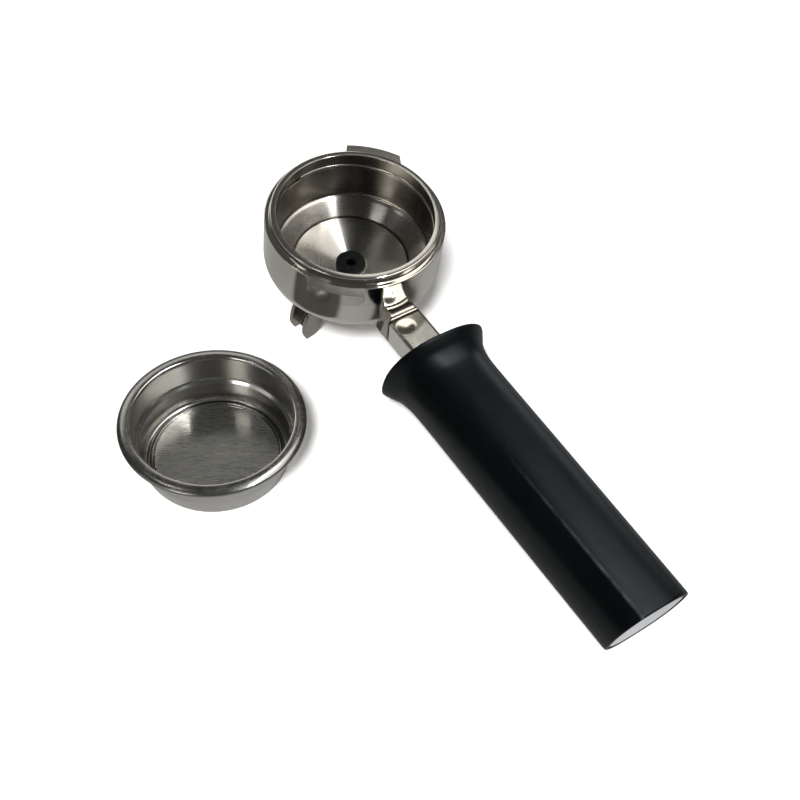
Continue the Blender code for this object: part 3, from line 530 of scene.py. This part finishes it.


# Painted reflections, bright and dark: how bright the cone and the bore are painted towards each side of the cup,
# 0 degrees being the handle.
CONE_PAINTED_REFLECTION = ((0, 0.80), (60, 0.72), (92, 0.46), (112, 0.31), (130, 0.28), (150, 0.33), (158, 0.38),
                (161, 0.44), (163, 1.0), (167, 1.0), (171, 0.70), (192, 0.78), (215, 1.0), (250, 1.0),
                (300, 0.85))
WALL_PAINTED_REFLECTION = ((0, 0.55), (60, 0.5), (80, 0.42), (94, 0.62), (105, 1.0), (120, 1.0), (127, 0.42),
                (134, 0.26), (141, 0.30), (146, 0.26), (152, 0.15), (160, 0.20), (176, 0.50), (192, 0.8),
                (215, 0.8), (240, 0.6), (290, 0.5))
EVEN = ((0, 0.87), (180, 0.87))
# radii of grooves that get a ring of painted shade
CONE_GROOVES = (22.65 * MM,)
BASKET_GROOVES = (25.25 * MM, 24.15 * MM, 23.10 * MM)

POLISHED = polished("polished_steel", (0.68, 0.655, 0.59), (0.84, 0.81, 0.74), 0.07)
TURNED = lathe_turned("turned_steel", (0.62, 0.595, 0.54), (0.84, 0.81, 0.74), 0.25, 0.92)
# painted reflections on the cone about its axis, and painted shade in its groove
shaded_around(TURNED, CONE_PAINTED_REFLECTION, CONE_GROOVES)
BAR = polished("bar_steel", (0.70, 0.68, 0.62), (0.86, 0.84, 0.78), 0.16)
WALL = lathe_turned("bore_steel", (0.66, 0.635, 0.58), (0.86, 0.83, 0.77), 0.16, 0.6)
# painted reflections on the bore about its axis
shaded_around(WALL, WALL_PAINTED_REFLECTION)
PRESSED = lathe_turned("pressed_steel", (0.47, 0.462, 0.437), (0.67, 0.658, 0.625), 0.17, 0.6, 3600.0)
# even tone all round, with painted shade in the basket floor's grooves
shaded_around(PRESSED, EVEN, BASKET_GROOVES)
# the basket's flange: the same sheet, rougher, its colour darkened as painted shade
FLANGE_STEEL_PAINTED_SHADE = polished("flange_steel_painted_shade", (0.30, 0.295, 0.28), (0.38, 0.375, 0.35), 0.21)
SIEVE = brushed("sieve_steel", (0.34, 0.34, 0.315), (0.56, 0.555, 0.52), 0.27, 57.0)
# the ears' steel, darker in colour than the cup's polished steel: painted shade
EAR_STEEL_PAINTED_SHADE = polished("ear_steel_painted_shade", (0.56, 0.54, 0.485), (0.72, 0.695, 0.635), 0.12)
# the neck root's steel, darker in colour than the cup's polished steel: painted shade
ROOT_STEEL_PAINTED_SHADE = polished("root_steel_painted_shade", (0.42, 0.40, 0.36), (0.58, 0.55, 0.50), 0.18, 0.06 * MM)
CAST = polished("spout_steel", (0.30, 0.285, 0.255), (0.46, 0.44, 0.40), 0.18)
SPRING = polished("spring_steel", (0.50, 0.48, 0.44), (0.66, 0.64, 0.59), 0.16)
FASTENER = plain_metal("fastener_steel", (0.5, 0.5, 0.5), (0.66, 0.66, 0.66), 0.33)
SILVER = plain_metal("satin_silver", (0.70, 0.705, 0.735), (0.84, 0.845, 0.87), 0.45, 900.0, 0.3)
RUBBER = moulded("black_rubber", (0.0020, 0.0030, 0.0022), (0.005, 0.007, 0.005), 0.36, 0.14 * MM, 0.22)
PLASTIC = moulded("black_plastic", (0.0018, 0.0029, 0.0036), (0.0042, 0.0060, 0.0074), 0.34)
NYLON = moulded("grey_nylon", (0.08, 0.08, 0.09), (0.12, 0.12, 0.13), 0.5)
FIBRE = plain_metal("fibre", (0.24, 0.09, 0.06), (0.36, 0.15, 0.10), 0.8, 700.0, 0.0)


# ---------------------------------------------------------------- cup

BORE_R, RIM_R, BODY_R = 30.0 * MM, 32.4 * MM, 34.5 * MM
RIM_MIDDLE_R = 31.0 * MM
SHOULDER_Z = -3.0 * MM
CORNER_R = 9.0 * MM
BODY_BOTTOM_Z = -30.0 * MM
GROOVE_R, GROOVE_Z = 31.4 * MM, (-6.3 * MM, -4.6 * MM)      # holds the spring
BORE_CORNER_R, BORE_CORNER_Z = 2.4 * MM, -20.0 * MM
CONE_RIM_R, CONE_RIM_Z = 22.4 * MM, -27.4 * MM
FLOOR_Z = -30.0 * MM
PLUG_R = 5.9 * MM
OUTLET_R = 4.2 * MM
SEAT_R, SEAT_Z = 6.8 * MM, -32.1 * MM                       # takes the nipple
BOSS_R, BOSS_BOTTOM_Z = 12.0 * MM, -35.6 * MM
INSIDE_R, INSIDE_Z = BORE_R + 0.3 * MM, (-31.0 * MM, -0.4 * MM)
CONE_TOP_Z = -21.5 * MM                                     # the cone's metal below this, the bore's above


def cup_shell():
    """From the rim down the outside, round the boss, up through the outlet, cone and bore to the rim."""
    outline = rounded([(RIM_MIDDLE_R, 0.0), (RIM_R, 0.0), (RIM_R, SHOULDER_Z), (BODY_R, SHOULDER_Z),
                       (BODY_R, SHOULDER_Z - 8 * MM)], 0.55 * MM, 5, closed=False)[:-1]
    outline += arc((BODY_R - CORNER_R, BODY_BOTTOM_Z + CORNER_R), CORNER_R, 0.0, -90.0, 24)
    outline += rounded([(BOSS_R + 4 * MM, -31.9 * MM), (BOSS_R + 1.0 * MM, -33.0 * MM), (BOSS_R, -33.6 * MM),
                        (BOSS_R, BOSS_BOTTOM_Z), (SEAT_R, BOSS_BOTTOM_Z), (SEAT_R, SEAT_Z),
                        (OUTLET_R, SEAT_Z), (OUTLET_R, FLOOR_Z), (PLUG_R + 0.6 * MM, FLOOR_Z)],
                       0.3 * MM, 3, closed=False)
    outline += rounded([(PLUG_R + 0.7 * MM, FLOOR_Z), (CONE_RIM_R, CONE_RIM_Z),
                        (CONE_RIM_R + 0.1 * MM, CONE_RIM_Z - 0.8 * MM),
                        (CONE_RIM_R + 0.5 * MM, CONE_RIM_Z - 0.8 * MM),
                        (CONE_RIM_R + 0.8 * MM, CONE_RIM_Z + 0.4 * MM), (27.7 * MM, -22.3 * MM)],
                       0.08 * MM, 2, closed=False)
    outline += arc((BORE_R - BORE_CORNER_R, BORE_CORNER_Z), BORE_CORNER_R, -50.0, 0.0, 8)
    outline += rounded([(BORE_R, -8.0 * MM), (BORE_R, GROOVE_Z[0]), (GROOVE_R, GROOVE_Z[0]),
                        (GROOVE_R, GROOVE_Z[1]), (BORE_R, GROOVE_Z[1]), (BORE_R, 0.0), (RIM_MIDDLE_R, 0.0)],
                       0.2 * MM, 4, closed=False)[:-1]
    shell = piece("cup_shell", turned(outline, 256), CUP, POLISHED, BODY, ["head_body"])
    shell.data.materials.append(TURNED)
    shell.data.materials.append(WALL)
    for face in shell.data.polygons:
        middle = face.center
        if math.hypot(middle.x, middle.y) < INSIDE_R and INSIDE_Z[0] < middle.z < INSIDE_Z[1]:
            face.material_index = 1 if middle.z < CONE_TOP_Z else 2


EAR_R = 38.2 * MM
EAR_TOP_Z, EAR_BOTTOM_Z = -2.7 * MM, -8.5 * MM
EAR_STARTS_DEG = (-59.0, 121.0)
EAR_SPAN_DEG = 32.5
EAR_LEAD_CUT_DEG, EAR_TRAIL_CUT_DEG = 8.0, 2.0              # the ear's root reaches this much further
EAR_LEAD_CORNER, EAR_TRAIL_CORNER = 1.6 * MM, 3.6 * MM
EAR_ROOT_R = RIM_R - 0.7 * MM
EAR_BEVEL = 0.35 * MM
LEAD_STEPS, STRAIGHT_STEPS, TRAIL_STEPS = 4, 16, 8


def ear(number, start_deg):
    """Bent flat lug: sections from its leading end to its trailing one, both with a round lower corner."""
    end_deg = start_deg + EAR_SPAN_DEG
    lead, trail = EAR_LEAD_CORNER, EAR_TRAIL_CORNER
    stations = []
    for step in range(LEAD_STEPS + 1):
        turn = math.radians(90.0 * step / LEAD_STEPS)
        stations.append((start_deg + math.degrees(lead / EAR_R) * (1.0 - math.cos(turn)),
                         EAR_BOTTOM_Z + lead * (1.0 - math.sin(turn))))
    first = stations[-1][0]
    last = end_deg - math.degrees(trail / EAR_R)
    stations += [(first + (last - first) * step / STRAIGHT_STEPS, EAR_BOTTOM_Z)
                 for step in range(1, STRAIGHT_STEPS)]
    for step in range(TRAIL_STEPS + 1):
        turn = math.radians(90.0 - 90.0 * step / TRAIL_STEPS)
        stations.append((last + math.degrees(trail / EAR_R) * math.cos(turn),
                         EAR_BOTTOM_Z + trail * (1.0 - math.sin(turn))))
    root_span_deg = EAR_LEAD_CUT_DEG + EAR_SPAN_DEG + EAR_TRAIL_CUT_DEG
    rings = []
    for deg, bottom in stations:
        outer = Vector((math.cos(math.radians(deg)), math.sin(math.radians(deg)), 0.0))
        share = (deg - start_deg) / EAR_SPAN_DEG
        root = math.radians(start_deg - EAR_LEAD_CUT_DEG + share * root_span_deg)
        inner = Vector((math.cos(root), math.sin(root), 0.0)) * EAR_ROOT_R
        rings.append([inner + Vector((0, 0, bottom)), outer * EAR_R + Vector((0, 0, bottom)),
                      outer * EAR_R + Vector((0, 0, EAR_TOP_Z)), inner + Vector((0, 0, EAR_TOP_Z))])
    piece(f"ear_{number}", loft(rings), CUP, EAR_STEEL_PAINTED_SHADE, BODY, ["head_body"], EAR_BEVEL)


BAR_HALF_WIDTH = 7.0 * MM
BAR_Z = (-4.6 * MM, 6.6 * MM)
BAR_START_X, BAR_END_X = 38.5 * MM, 79.0 * MM
BAR_BEVEL = 1.1 * MM
ROOT_START_X, ROOT_TOP_X = 30.0 * MM, 33.2 * MM             # the root starts inside the cup's wall
ROOT_SPREAD, ROOT_TAPER = 0.6 * MM, (3.6 * MM, 1.4 * MM)


def neck_root():
    """Short buttress from the cup's wall to the bar; its top narrows towards the cup."""
    end = BAR_START_X - 0.3 * MM
    low, high = BAR_Z
    fillet_mm = [(33.6, 2.4), (34.7, 2.1), (35.2, 1.4), (35.7, 0.85), (36.2, 0.5), (36.8, 0.38),
                 (37.4, 0.45)]
    stations = [(ROOT_START_X, low + 0.7 * MM, 4.9 * MM)]
    stations += [(p.x * MM, low, high + p.y * MM) for p in smooth_path(fillet_mm, 4)]
    stations += [(end - 0.3 * MM, low, high + 0.4 * MM), (end, low, high)]
    rings = []
    for x, bottom, top in stations:
        share = min((end - x) / (end - ROOT_TOP_X), 1.0)
        foot = BAR_HALF_WIDTH + ROOT_SPREAD * share ** 1.6
        taper = share ** 0.7
        outline = [(-foot, bottom), (foot, bottom), (BAR_HALF_WIDTH - ROOT_TAPER[1] * taper, top),
                   (ROOT_TAPER[0] * taper - BAR_HALF_WIDTH, top)]
        rings.append([Vector((x, p.x, p.y)) for p in rounded(outline, BAR_BEVEL, 6)])
    piece("neck_root", loft(rings), HANDLE, ROOT_STEEL_PAINTED_SHADE, BODY, ["head_body"])


def spring():
    """Round wire in the bore's groove, almost a full turn."""
    wire_r, ring_r, middle_z = 0.66 * MM, 30.44 * MM, -5.6 * MM
    start_deg, span_deg, steps = 207.0, 346.0, 220
    sides = [2 * math.pi * side / 12 for side in range(12)]
    section = [(ring_r + wire_r * math.cos(t), middle_z + wire_r * math.sin(t)) for t in sides]
    rings = []
    for step in range(steps + 1):
        turn = math.radians(start_deg + span_deg * step / steps)
        across = Vector((math.cos(turn), math.sin(turn), 0.0))
        rings.append([across * radius + Vector((0, 0, height)) for radius, height in section])
    piece("spring_ring", loft(rings), CUP, SPRING, BODY, ["basket_spring"])


def plug():
    """Cap on a stem that fills the outlet, with a hole through both."""
    top, cap_bottom, bottom = -28.3 * MM, FLOOR_Z + 0.3 * MM, -31.8 * MM
    hole, stem = 1.7 * MM, 3.9 * MM
    profile = rounded([(hole, top - 1.4 * MM), (hole, top - 0.5 * MM), (hole + 0.3 * MM, top),
                       (PLUG_R, top), (PLUG_R, cap_bottom), (stem, cap_bottom), (stem, bottom),
                       (hole, bottom)], 0.6 * MM, 5)
    piece("plug_cap", turned(profile, 96), CUP, RUBBER, "plug", ["outlet_plug"])


# ---------------------------------------------------------------- spout

SPOUT_TURN_DEG = 8.5
SPOUT = CUP @ Matrix.Rotation(math.radians(SPOUT_TURN_DEG), 4, "Z")
TIP_Z = -54.5
SPOUT_BEVEL = 0.35 * MM
# Open edge and back of a channel from the hub to its tip, each as (distance out, height) in mm.
CHANNEL = (((7.6, -40.6), (7.6, -47.2)), ((14.0, -39.8), (10.8, -46.8)), ((20.0, -39.0), (13.6, -46.6)),
           ((23.2, -39.3), (15.2, -47.0)), ((25.0, -41.2), (16.4, -47.9)), ((26.1, -44.6), (17.6, -49.6)),
           ((26.5, -48.6), (18.8, -51.6)), ((26.1, -51.6), (19.8, -53.2)), ((24.8, TIP_Z), (20.7, TIP_Z)))


def channel(side):
    """Trough of U section, open outwards, along the two curves of CHANNEL."""
    half, wall = 4.8, 1.7
    edges = smooth_path([station[0] for station in CHANNEL], 4)
    backs = smooth_path([station[1] for station in CHANNEL], 4)
    rings = []
    for outer, inner in zip(edges, backs):
        web = inner + (outer - inner).normalized() * wall
        outline = [(-half, outer), (wall - half, outer), (wall - half, web), (half - wall, web),
                   (half - wall, outer), (half, outer), (half, inner), (-half, inner)]
        rings.append([Vector((x, side * p.x, p.y)) * MM for x, p in outline])
    return loft(rings)


def spout():
    """Hub with a closed bottom, and a channel on each side of it."""
    top, inner_bottom, bottom = -40.1, -46.0, -48.0
    bore_r, hub_r = 6.8, 10.5
    hub = rounded([(bore_r, top), (hub_r, top), (hub_r, bottom), (0.0, bottom), (0.0, inner_bottom),
                   (bore_r, inner_bottom)], 1.0, 5)
    piece("spout_hub", turned([(p[0] * MM, p[1] * MM) for p in hub], 128), SPOUT, CAST, BODY,
          ["spout_body"])
    for number, side in enumerate((-1.0, 1.0)):
        piece(f"spout_channel_{number}", channel(side), SPOUT, CAST, BODY, ["spout_body"],
              SPOUT_BEVEL)


# ---------------------------------------------------------------- handle

# Sizes and places on the handle are in mm. A station is (x, half width, height above, depth below the axis).
GRIP_STATIONS = ((57.3, 21.6, 19.4, 16.6), (58.2, 22.0, 19.8, 16.9), (60.8, 20.5, 18.3, 16.6),
                 (64.0, 18.6, 16.2, 16.1), (68.0, 17.6, 14.6, 15.7), (73.0, 17.1, 13.9, 15.6),
                 (85.0, 16.9, 13.8, 15.6), (115.0, 16.7, 13.7, 15.7), (150.0, 16.4, 13.5, 15.8),
                 (172.0, 16.2, 13.4, 15.9), (184.0, 16.1, 13.3, 15.9))
GRIP_ROUNDNESS, GRIP_SIDES = 2.4, 240
GRIP_WALL = 3.0
MOUTH_X, END_X = 57.3, 184.0
SLANT_START_X, MOUTH_SLANT_END_X = 168.0, 82.0
SLANT = math.tan(math.radians(10.0))
GRIP_CURVE = smooth_path(GRIP_STATIONS, 8)
RIDGE_Y, RIDGE_HEIGHT, RIDGE_SPREAD = -7.5, 0.75, 4.5       # a crease along the grip's top
RIDGE_START_X, RIDGE_FULL_X = 95.0, 172.0
CREASE_HIGHLIGHT_START_X, CREASE_HIGHLIGHT_FULL_X = 112.0, 165.0
DENT = (42.9, -2.4, 3.9, 4.6, 0.40)   # place along and across the bar, half sizes, depth

# painted highlight along the grip's crease
crease_highlight(PLASTIC, RIDGE_Y * MM, CREASE_HIGHLIGHT_START_X * MM, CREASE_HIGHLIGHT_FULL_X * MM)


def grip_size(x):
    """Half width, height above and depth below the axis at x in mm, on smooth curves."""
    if x <= MOUTH_X:
        return GRIP_STATIONS[0][1:]
    for here, there in zip(GRIP_CURVE, GRIP_CURVE[1:]):
        if x <= there[0]:
            t = (x - here[0]) / (there[0] - here[0])
            return tuple(a + (b - a) * t for a, b in zip(here[1:], there[1:]))
    return GRIP_STATIONS[-1][1:]


def ridge(x, y):
    """Height of a soft crease that lies beside the top's middle and grows towards the end."""
    growth = min(max((x - RIDGE_START_X) / (RIDGE_FULL_X - RIDGE_START_X), 0.0), 1.0)
    return RIDGE_HEIGHT * growth * math.exp(-abs(y - RIDGE_Y) / RIDGE_SPREAD)


def grip_ring(x, inset):
    """Superelliptical section of the grip, this far inside its surface; towards both ends it slants."""
    width, above, below = grip_size(x)
    power = 2.0 / GRIP_ROUNDNESS
    ring = []
    for step in range(GRIP_SIDES):
        turn = 2.0 * math.pi * (step + 0.5) / GRIP_SIDES
        side, lift = math.cos(turn), math.sin(turn)
        y = (width - inset) * math.copysign(abs(side) ** power, side)
        z = ((above if lift > 0 else below) - inset) * math.copysign(abs(lift) ** power, lift)
        if lift > 0:
            z += ridge(x, y) * min(lift * 3.0, 1.0)
        share = max((x - SLANT_START_X) / (END_X - SLANT_START_X),
                    (MOUTH_SLANT_END_X - x) / (MOUTH_SLANT_END_X - MOUTH_X), 0.0)
        ring.append(Vector((x + min(share, 1.0) * SLANT * z, y, z)) * MM)
    return ring


def grip():
    """Tube whose wall runs out over the mouth's lip, along the outside, in at the end and back inside."""
    wall = [(MOUTH_X, 0.9), (57.35, 0.45), (57.6, 0.12)]
    wall += [(58.0 + 0.5 * step, 0.0) for step in range(32)]
    wall += [(74.0 + 4.0 * step, 0.0) for step in range(27)]
    wall += [(183.0, 0.0), (183.6, 0.08), (183.9, 0.3), (END_X, 0.6), (END_X, 1.2), (183.8, 1.4),
             (178.0, 1.4)]
    wall += [(x, GRIP_WALL) for x in (178.0, 168.0, 120.0, 75.0, 68.0, 64.0)]
    wall += [(60.5, 2.4), (57.6, 1.9), (57.35, 1.5)]
    rings = [grip_ring(x, inset) for x, inset in wall]
    piece("grip_shell", loft(rings, closed=True), HANDLE, PLASTIC, BODY, ["handle_grip"])


def end_disc():
    """Plate in the grip's end, its outer edge rounded."""
    edge = ((181.5, 1.75), (183.35, 1.75), (183.6, 1.85), (183.68, 2.1), (183.7, 2.5))
    rings = [grip_ring(x, inset) for x, inset in edge]
    piece("end_disc", loft(rings), HANDLE, SILVER, BODY, ["end_plate"])


def bar():
    """Flat bar, its edges rounded, with a shallow oval dent in its top beside the neck's root."""
    half, bevel, start, end = (size / MM for size in (BAR_HALF_WIDTH, BAR_BEVEL, BAR_START_X, BAR_END_X))
    low, high = BAR_Z[0] / MM, BAR_Z[1] / MM
    outline = rounded([(-half, low), (half, low), (half, high), (-half, high)], bevel, 6)
    flat = half - bevel
    top = [Vector((flat - 2.0 * flat * step / 40, high)) for step in range(1, 40)]
    top_right = max(range(len(outline)), key=lambda i: (round(outline[i].y, 4), outline[i].x))
    outline = outline[:top_right + 1] + top + outline[top_right + 1:]
    rings = [[Vector((start, p.x * 0.97, p.y - 0.1)) * MM for p in outline]]
    dent_x, dent_y, dent_length, dent_width, dent_depth = DENT
    dented = [start + 0.25 + 0.25 * step for step in range(48)]
    for x in dented + [52.0, 60.0, end]:
        ring = []
        for p in outline:
            away = math.hypot((x - dent_x) / dent_length, (p.x - dent_y) / dent_width)
            depth = dent_depth * (1.0 - away ** 2) ** 2 if away < 1.0 and p.y > high - 0.1 else 0.0
            ring.append(Vector((x, p.x, p.y - depth)) * MM)
        rings.append(ring)
    piece("bar", loft(rings), HANDLE, BAR, BODY, ["neck_bar"])


# ---------------------------------------------------------------- basket

BASKET_HEIGHT = basket_high.z - basket_low.z
FLANGE_R = (basket_high.x - basket_low.x) / 2.0
WALL_R, LEDGE_Z, FOOT_R, SHEET = 29.6 * MM, 9.3 * MM, 25.0 * MM, 0.6 * MM
FLOOR_LOW, FLOOR_HIGH = 0.8 * MM, 1.4 * MM
FLANGE_FACE_R, FLANGE_FACE_DEPTH = WALL_R + 0.2 * MM, 3.0 * MM     # past this, and this near the top
SIEVE_R = 22.6 * MM
SOLID_EDGE, CELL_EDGE = 1.2 * MM, 0.2 * MM    # no holes this near the sieve's edge; cells this far past it
SIEVE_INSET = 0.04 * MM
HOLE_PITCH, HOLE_R = 0.95 * MM, 0.17 * MM
WELD = 1e-6


def basket_outline():
    """Sheet section of the bowl: up its outside from the floor, over the flange and down its inside."""
    top, wall, ledge, foot = BASKET_HEIGHT, WALL_R, LEDGE_Z, FOOT_R
    inner = wall - SHEET
    roll = 1.0 * MM
    points = [(SIEVE_R, FLOOR_LOW), (foot - 0.8 * MM, FLOOR_LOW), (foot - 0.4 * MM, 0.0),
              (foot + 0.4 * MM, 0.0), (foot + 1.3 * MM, 0.5 * MM), (foot + 2.0 * MM, 1.8 * MM),
              (foot + 2.4 * MM, 3.6 * MM), (wall - 1.2 * MM, ledge - 0.9 * MM),
              (wall - 0.3 * MM, ledge - 0.1 * MM), (wall, ledge + 0.6 * MM), (wall, top - 2.4 * MM),
              (wall + 0.7 * MM, top - 1.8 * MM), (FLANGE_R - 2.2 * MM, top - 1.6 * MM)]
    points = rounded(points, 0.8 * MM, 4, closed=False)
    points += arc((FLANGE_R - roll, top - 0.6 * MM - roll), roll, -80.0, 40.0, 10)
    lip = smooth_path([points[-1], (FLANGE_R - 1.1 * MM, top - 0.42 * MM),
                       (FLANGE_R - 2.0 * MM, top - 0.12 * MM), (FLANGE_R - 2.9 * MM, top),
                       (inner + 1.0 * MM, top - 0.05 * MM), (inner + 0.45 * MM, top - 0.28 * MM),
                       (inner + 0.1 * MM, top - 0.8 * MM), (inner, top - 1.6 * MM)], 5)[1:-1]
    inside = [(inner, top - 2.2 * MM), (inner, ledge + 1.2 * MM), (inner - 0.3 * MM, ledge + 0.5 * MM),
              (inner - 1.3 * MM, ledge - 0.5 * MM), (foot + 1.9 * MM, 3.2 * MM), (foot + 1.5 * MM, 2.0 * MM),
              (foot + 0.9 * MM, 1.1 * MM), (foot + 0.2 * MM, 0.75 * MM), (foot - 0.3 * MM, 0.85 * MM),
              (foot - 0.6 * MM, FLOOR_HIGH + 0.3 * MM), (foot - 1.05 * MM, FLOOR_HIGH + 0.35 * MM),
              (foot - 1.4 * MM, FLOOR_HIGH - 0.15 * MM), (foot - 1.75 * MM, FLOOR_HIGH - 0.15 * MM),
              (foot - 2.05 * MM, FLOOR_HIGH + 0.1 * MM), (SIEVE_R, FLOOR_HIGH)]
    return points + lip + rounded(inside, 0.2 * MM, 4, closed=False)


def sieve():
    """Perforated disc: six-sided cells, each with its hole, given thickness."""
    bm = bmesh.new()
    corners = {}
    row_step = HOLE_PITCH * math.sqrt(3.0) / 2.0
    reach = HOLE_PITCH / math.sqrt(3.0)
    rows = int(SIEVE_R / row_step) + 2
    height = FLOOR_HIGH - SIEVE_INSET
    ways = [(math.cos(t), math.sin(t)) for t in (math.radians(30.0 + 60.0 * k) for k in range(6))]

    def corner(x, y):
        """The cell corner at this place, which up to three cells share."""
        key = (round(x / WELD), round(y / WELD))
        near = [(key[0] + i, key[1] + j) for i in (-1, 0, 1) for j in (-1, 0, 1)]
        for other in near:
            if other in corners:
                return corners[other]
        corners[key] = bm.verts.new((x, y, height))
        return corners[key]

    for j in range(-rows, rows + 1):
        for i in range(-rows - 2, rows + 3):
            x, y = HOLE_PITCH * (i + 0.5 * (j % 2)), row_step * j
            distance = math.hypot(x, y)
            if distance > SIEVE_R + CELL_EDGE:
                continue
            outer = [corner(x + reach * across, y + reach * along) for across, along in ways]
            if distance > SIEVE_R - SOLID_EDGE:
                bm.faces.new(outer)
                continue
            inner = [bm.verts.new((x + HOLE_R * across, y + HOLE_R * along, height))
                     for across, along in ways]
            for k in range(6):
                after = (k + 1) % 6
                bm.faces.new((outer[k], outer[after], inner[after], inner[k]))
    bmesh.ops.recalc_face_normals(bm, faces=bm.faces)
    bmesh.ops.solidify(bm, geom=bm.faces[:], thickness=FLOOR_HIGH - FLOOR_LOW - 2.0 * SIEVE_INSET)
    return bm


def basket():
    """Bowl of sheet, its flange rougher than the rest and painted darker as painted shade, with the perforated
    disc as its floor.
    """
    bowl = piece("basket_bowl", turned(basket_outline(), 256), BASKET, PRESSED, "basket",
                 ["filter_basket"])
    bowl.data.materials.append(FLANGE_STEEL_PAINTED_SHADE)
    for face in bowl.data.polygons:
        middle = face.center
        if math.hypot(middle.x, middle.y) > FLANGE_FACE_R and middle.z > BASKET_HEIGHT - FLANGE_FACE_DEPTH:
            face.material_index = 1
    disc = piece("basket_sieve", sieve(), BASKET, SIEVE, "basket", ["filter_basket"])
    disc.data.shade_flat()
    disc.modifiers.clear()


# ---------------------------------------------------------------- putting it together

# The CAD's own mesh of these is shown, with a material of this script.
KEPT = {"spout_nipple": FASTENER, "spout_washer": FIBRE, "spout_lock_nut": FASTENER, "neck_pin": FASTENER,
        "handle_stud": FASTENER, "mouth_bush": PLASTIC, "handle_core": NYLON, "stud_washer": FASTENER,
        "stud_spring_washer": FASTENER, "stud_nut": FASTENER, "end_cap_carrier": PLASTIC,
        "end_cap_screw": FASTENER}

cup_shell()
for ear_number, ear_start in enumerate(EAR_STARTS_DEG):
    ear(ear_number, ear_start)
neck_root()
spring()
plug()
spout()
grip()
end_disc()
bar()
basket()
for node, kept_material in KEPT.items():
    materials = frame["nodes"][node].data.materials
    materials.clear()
    materials.append(kept_material)

make_camera()
make_world()
make_studio(make_floor())
bpy.context.scene.view_settings.view_transform = "Standard"
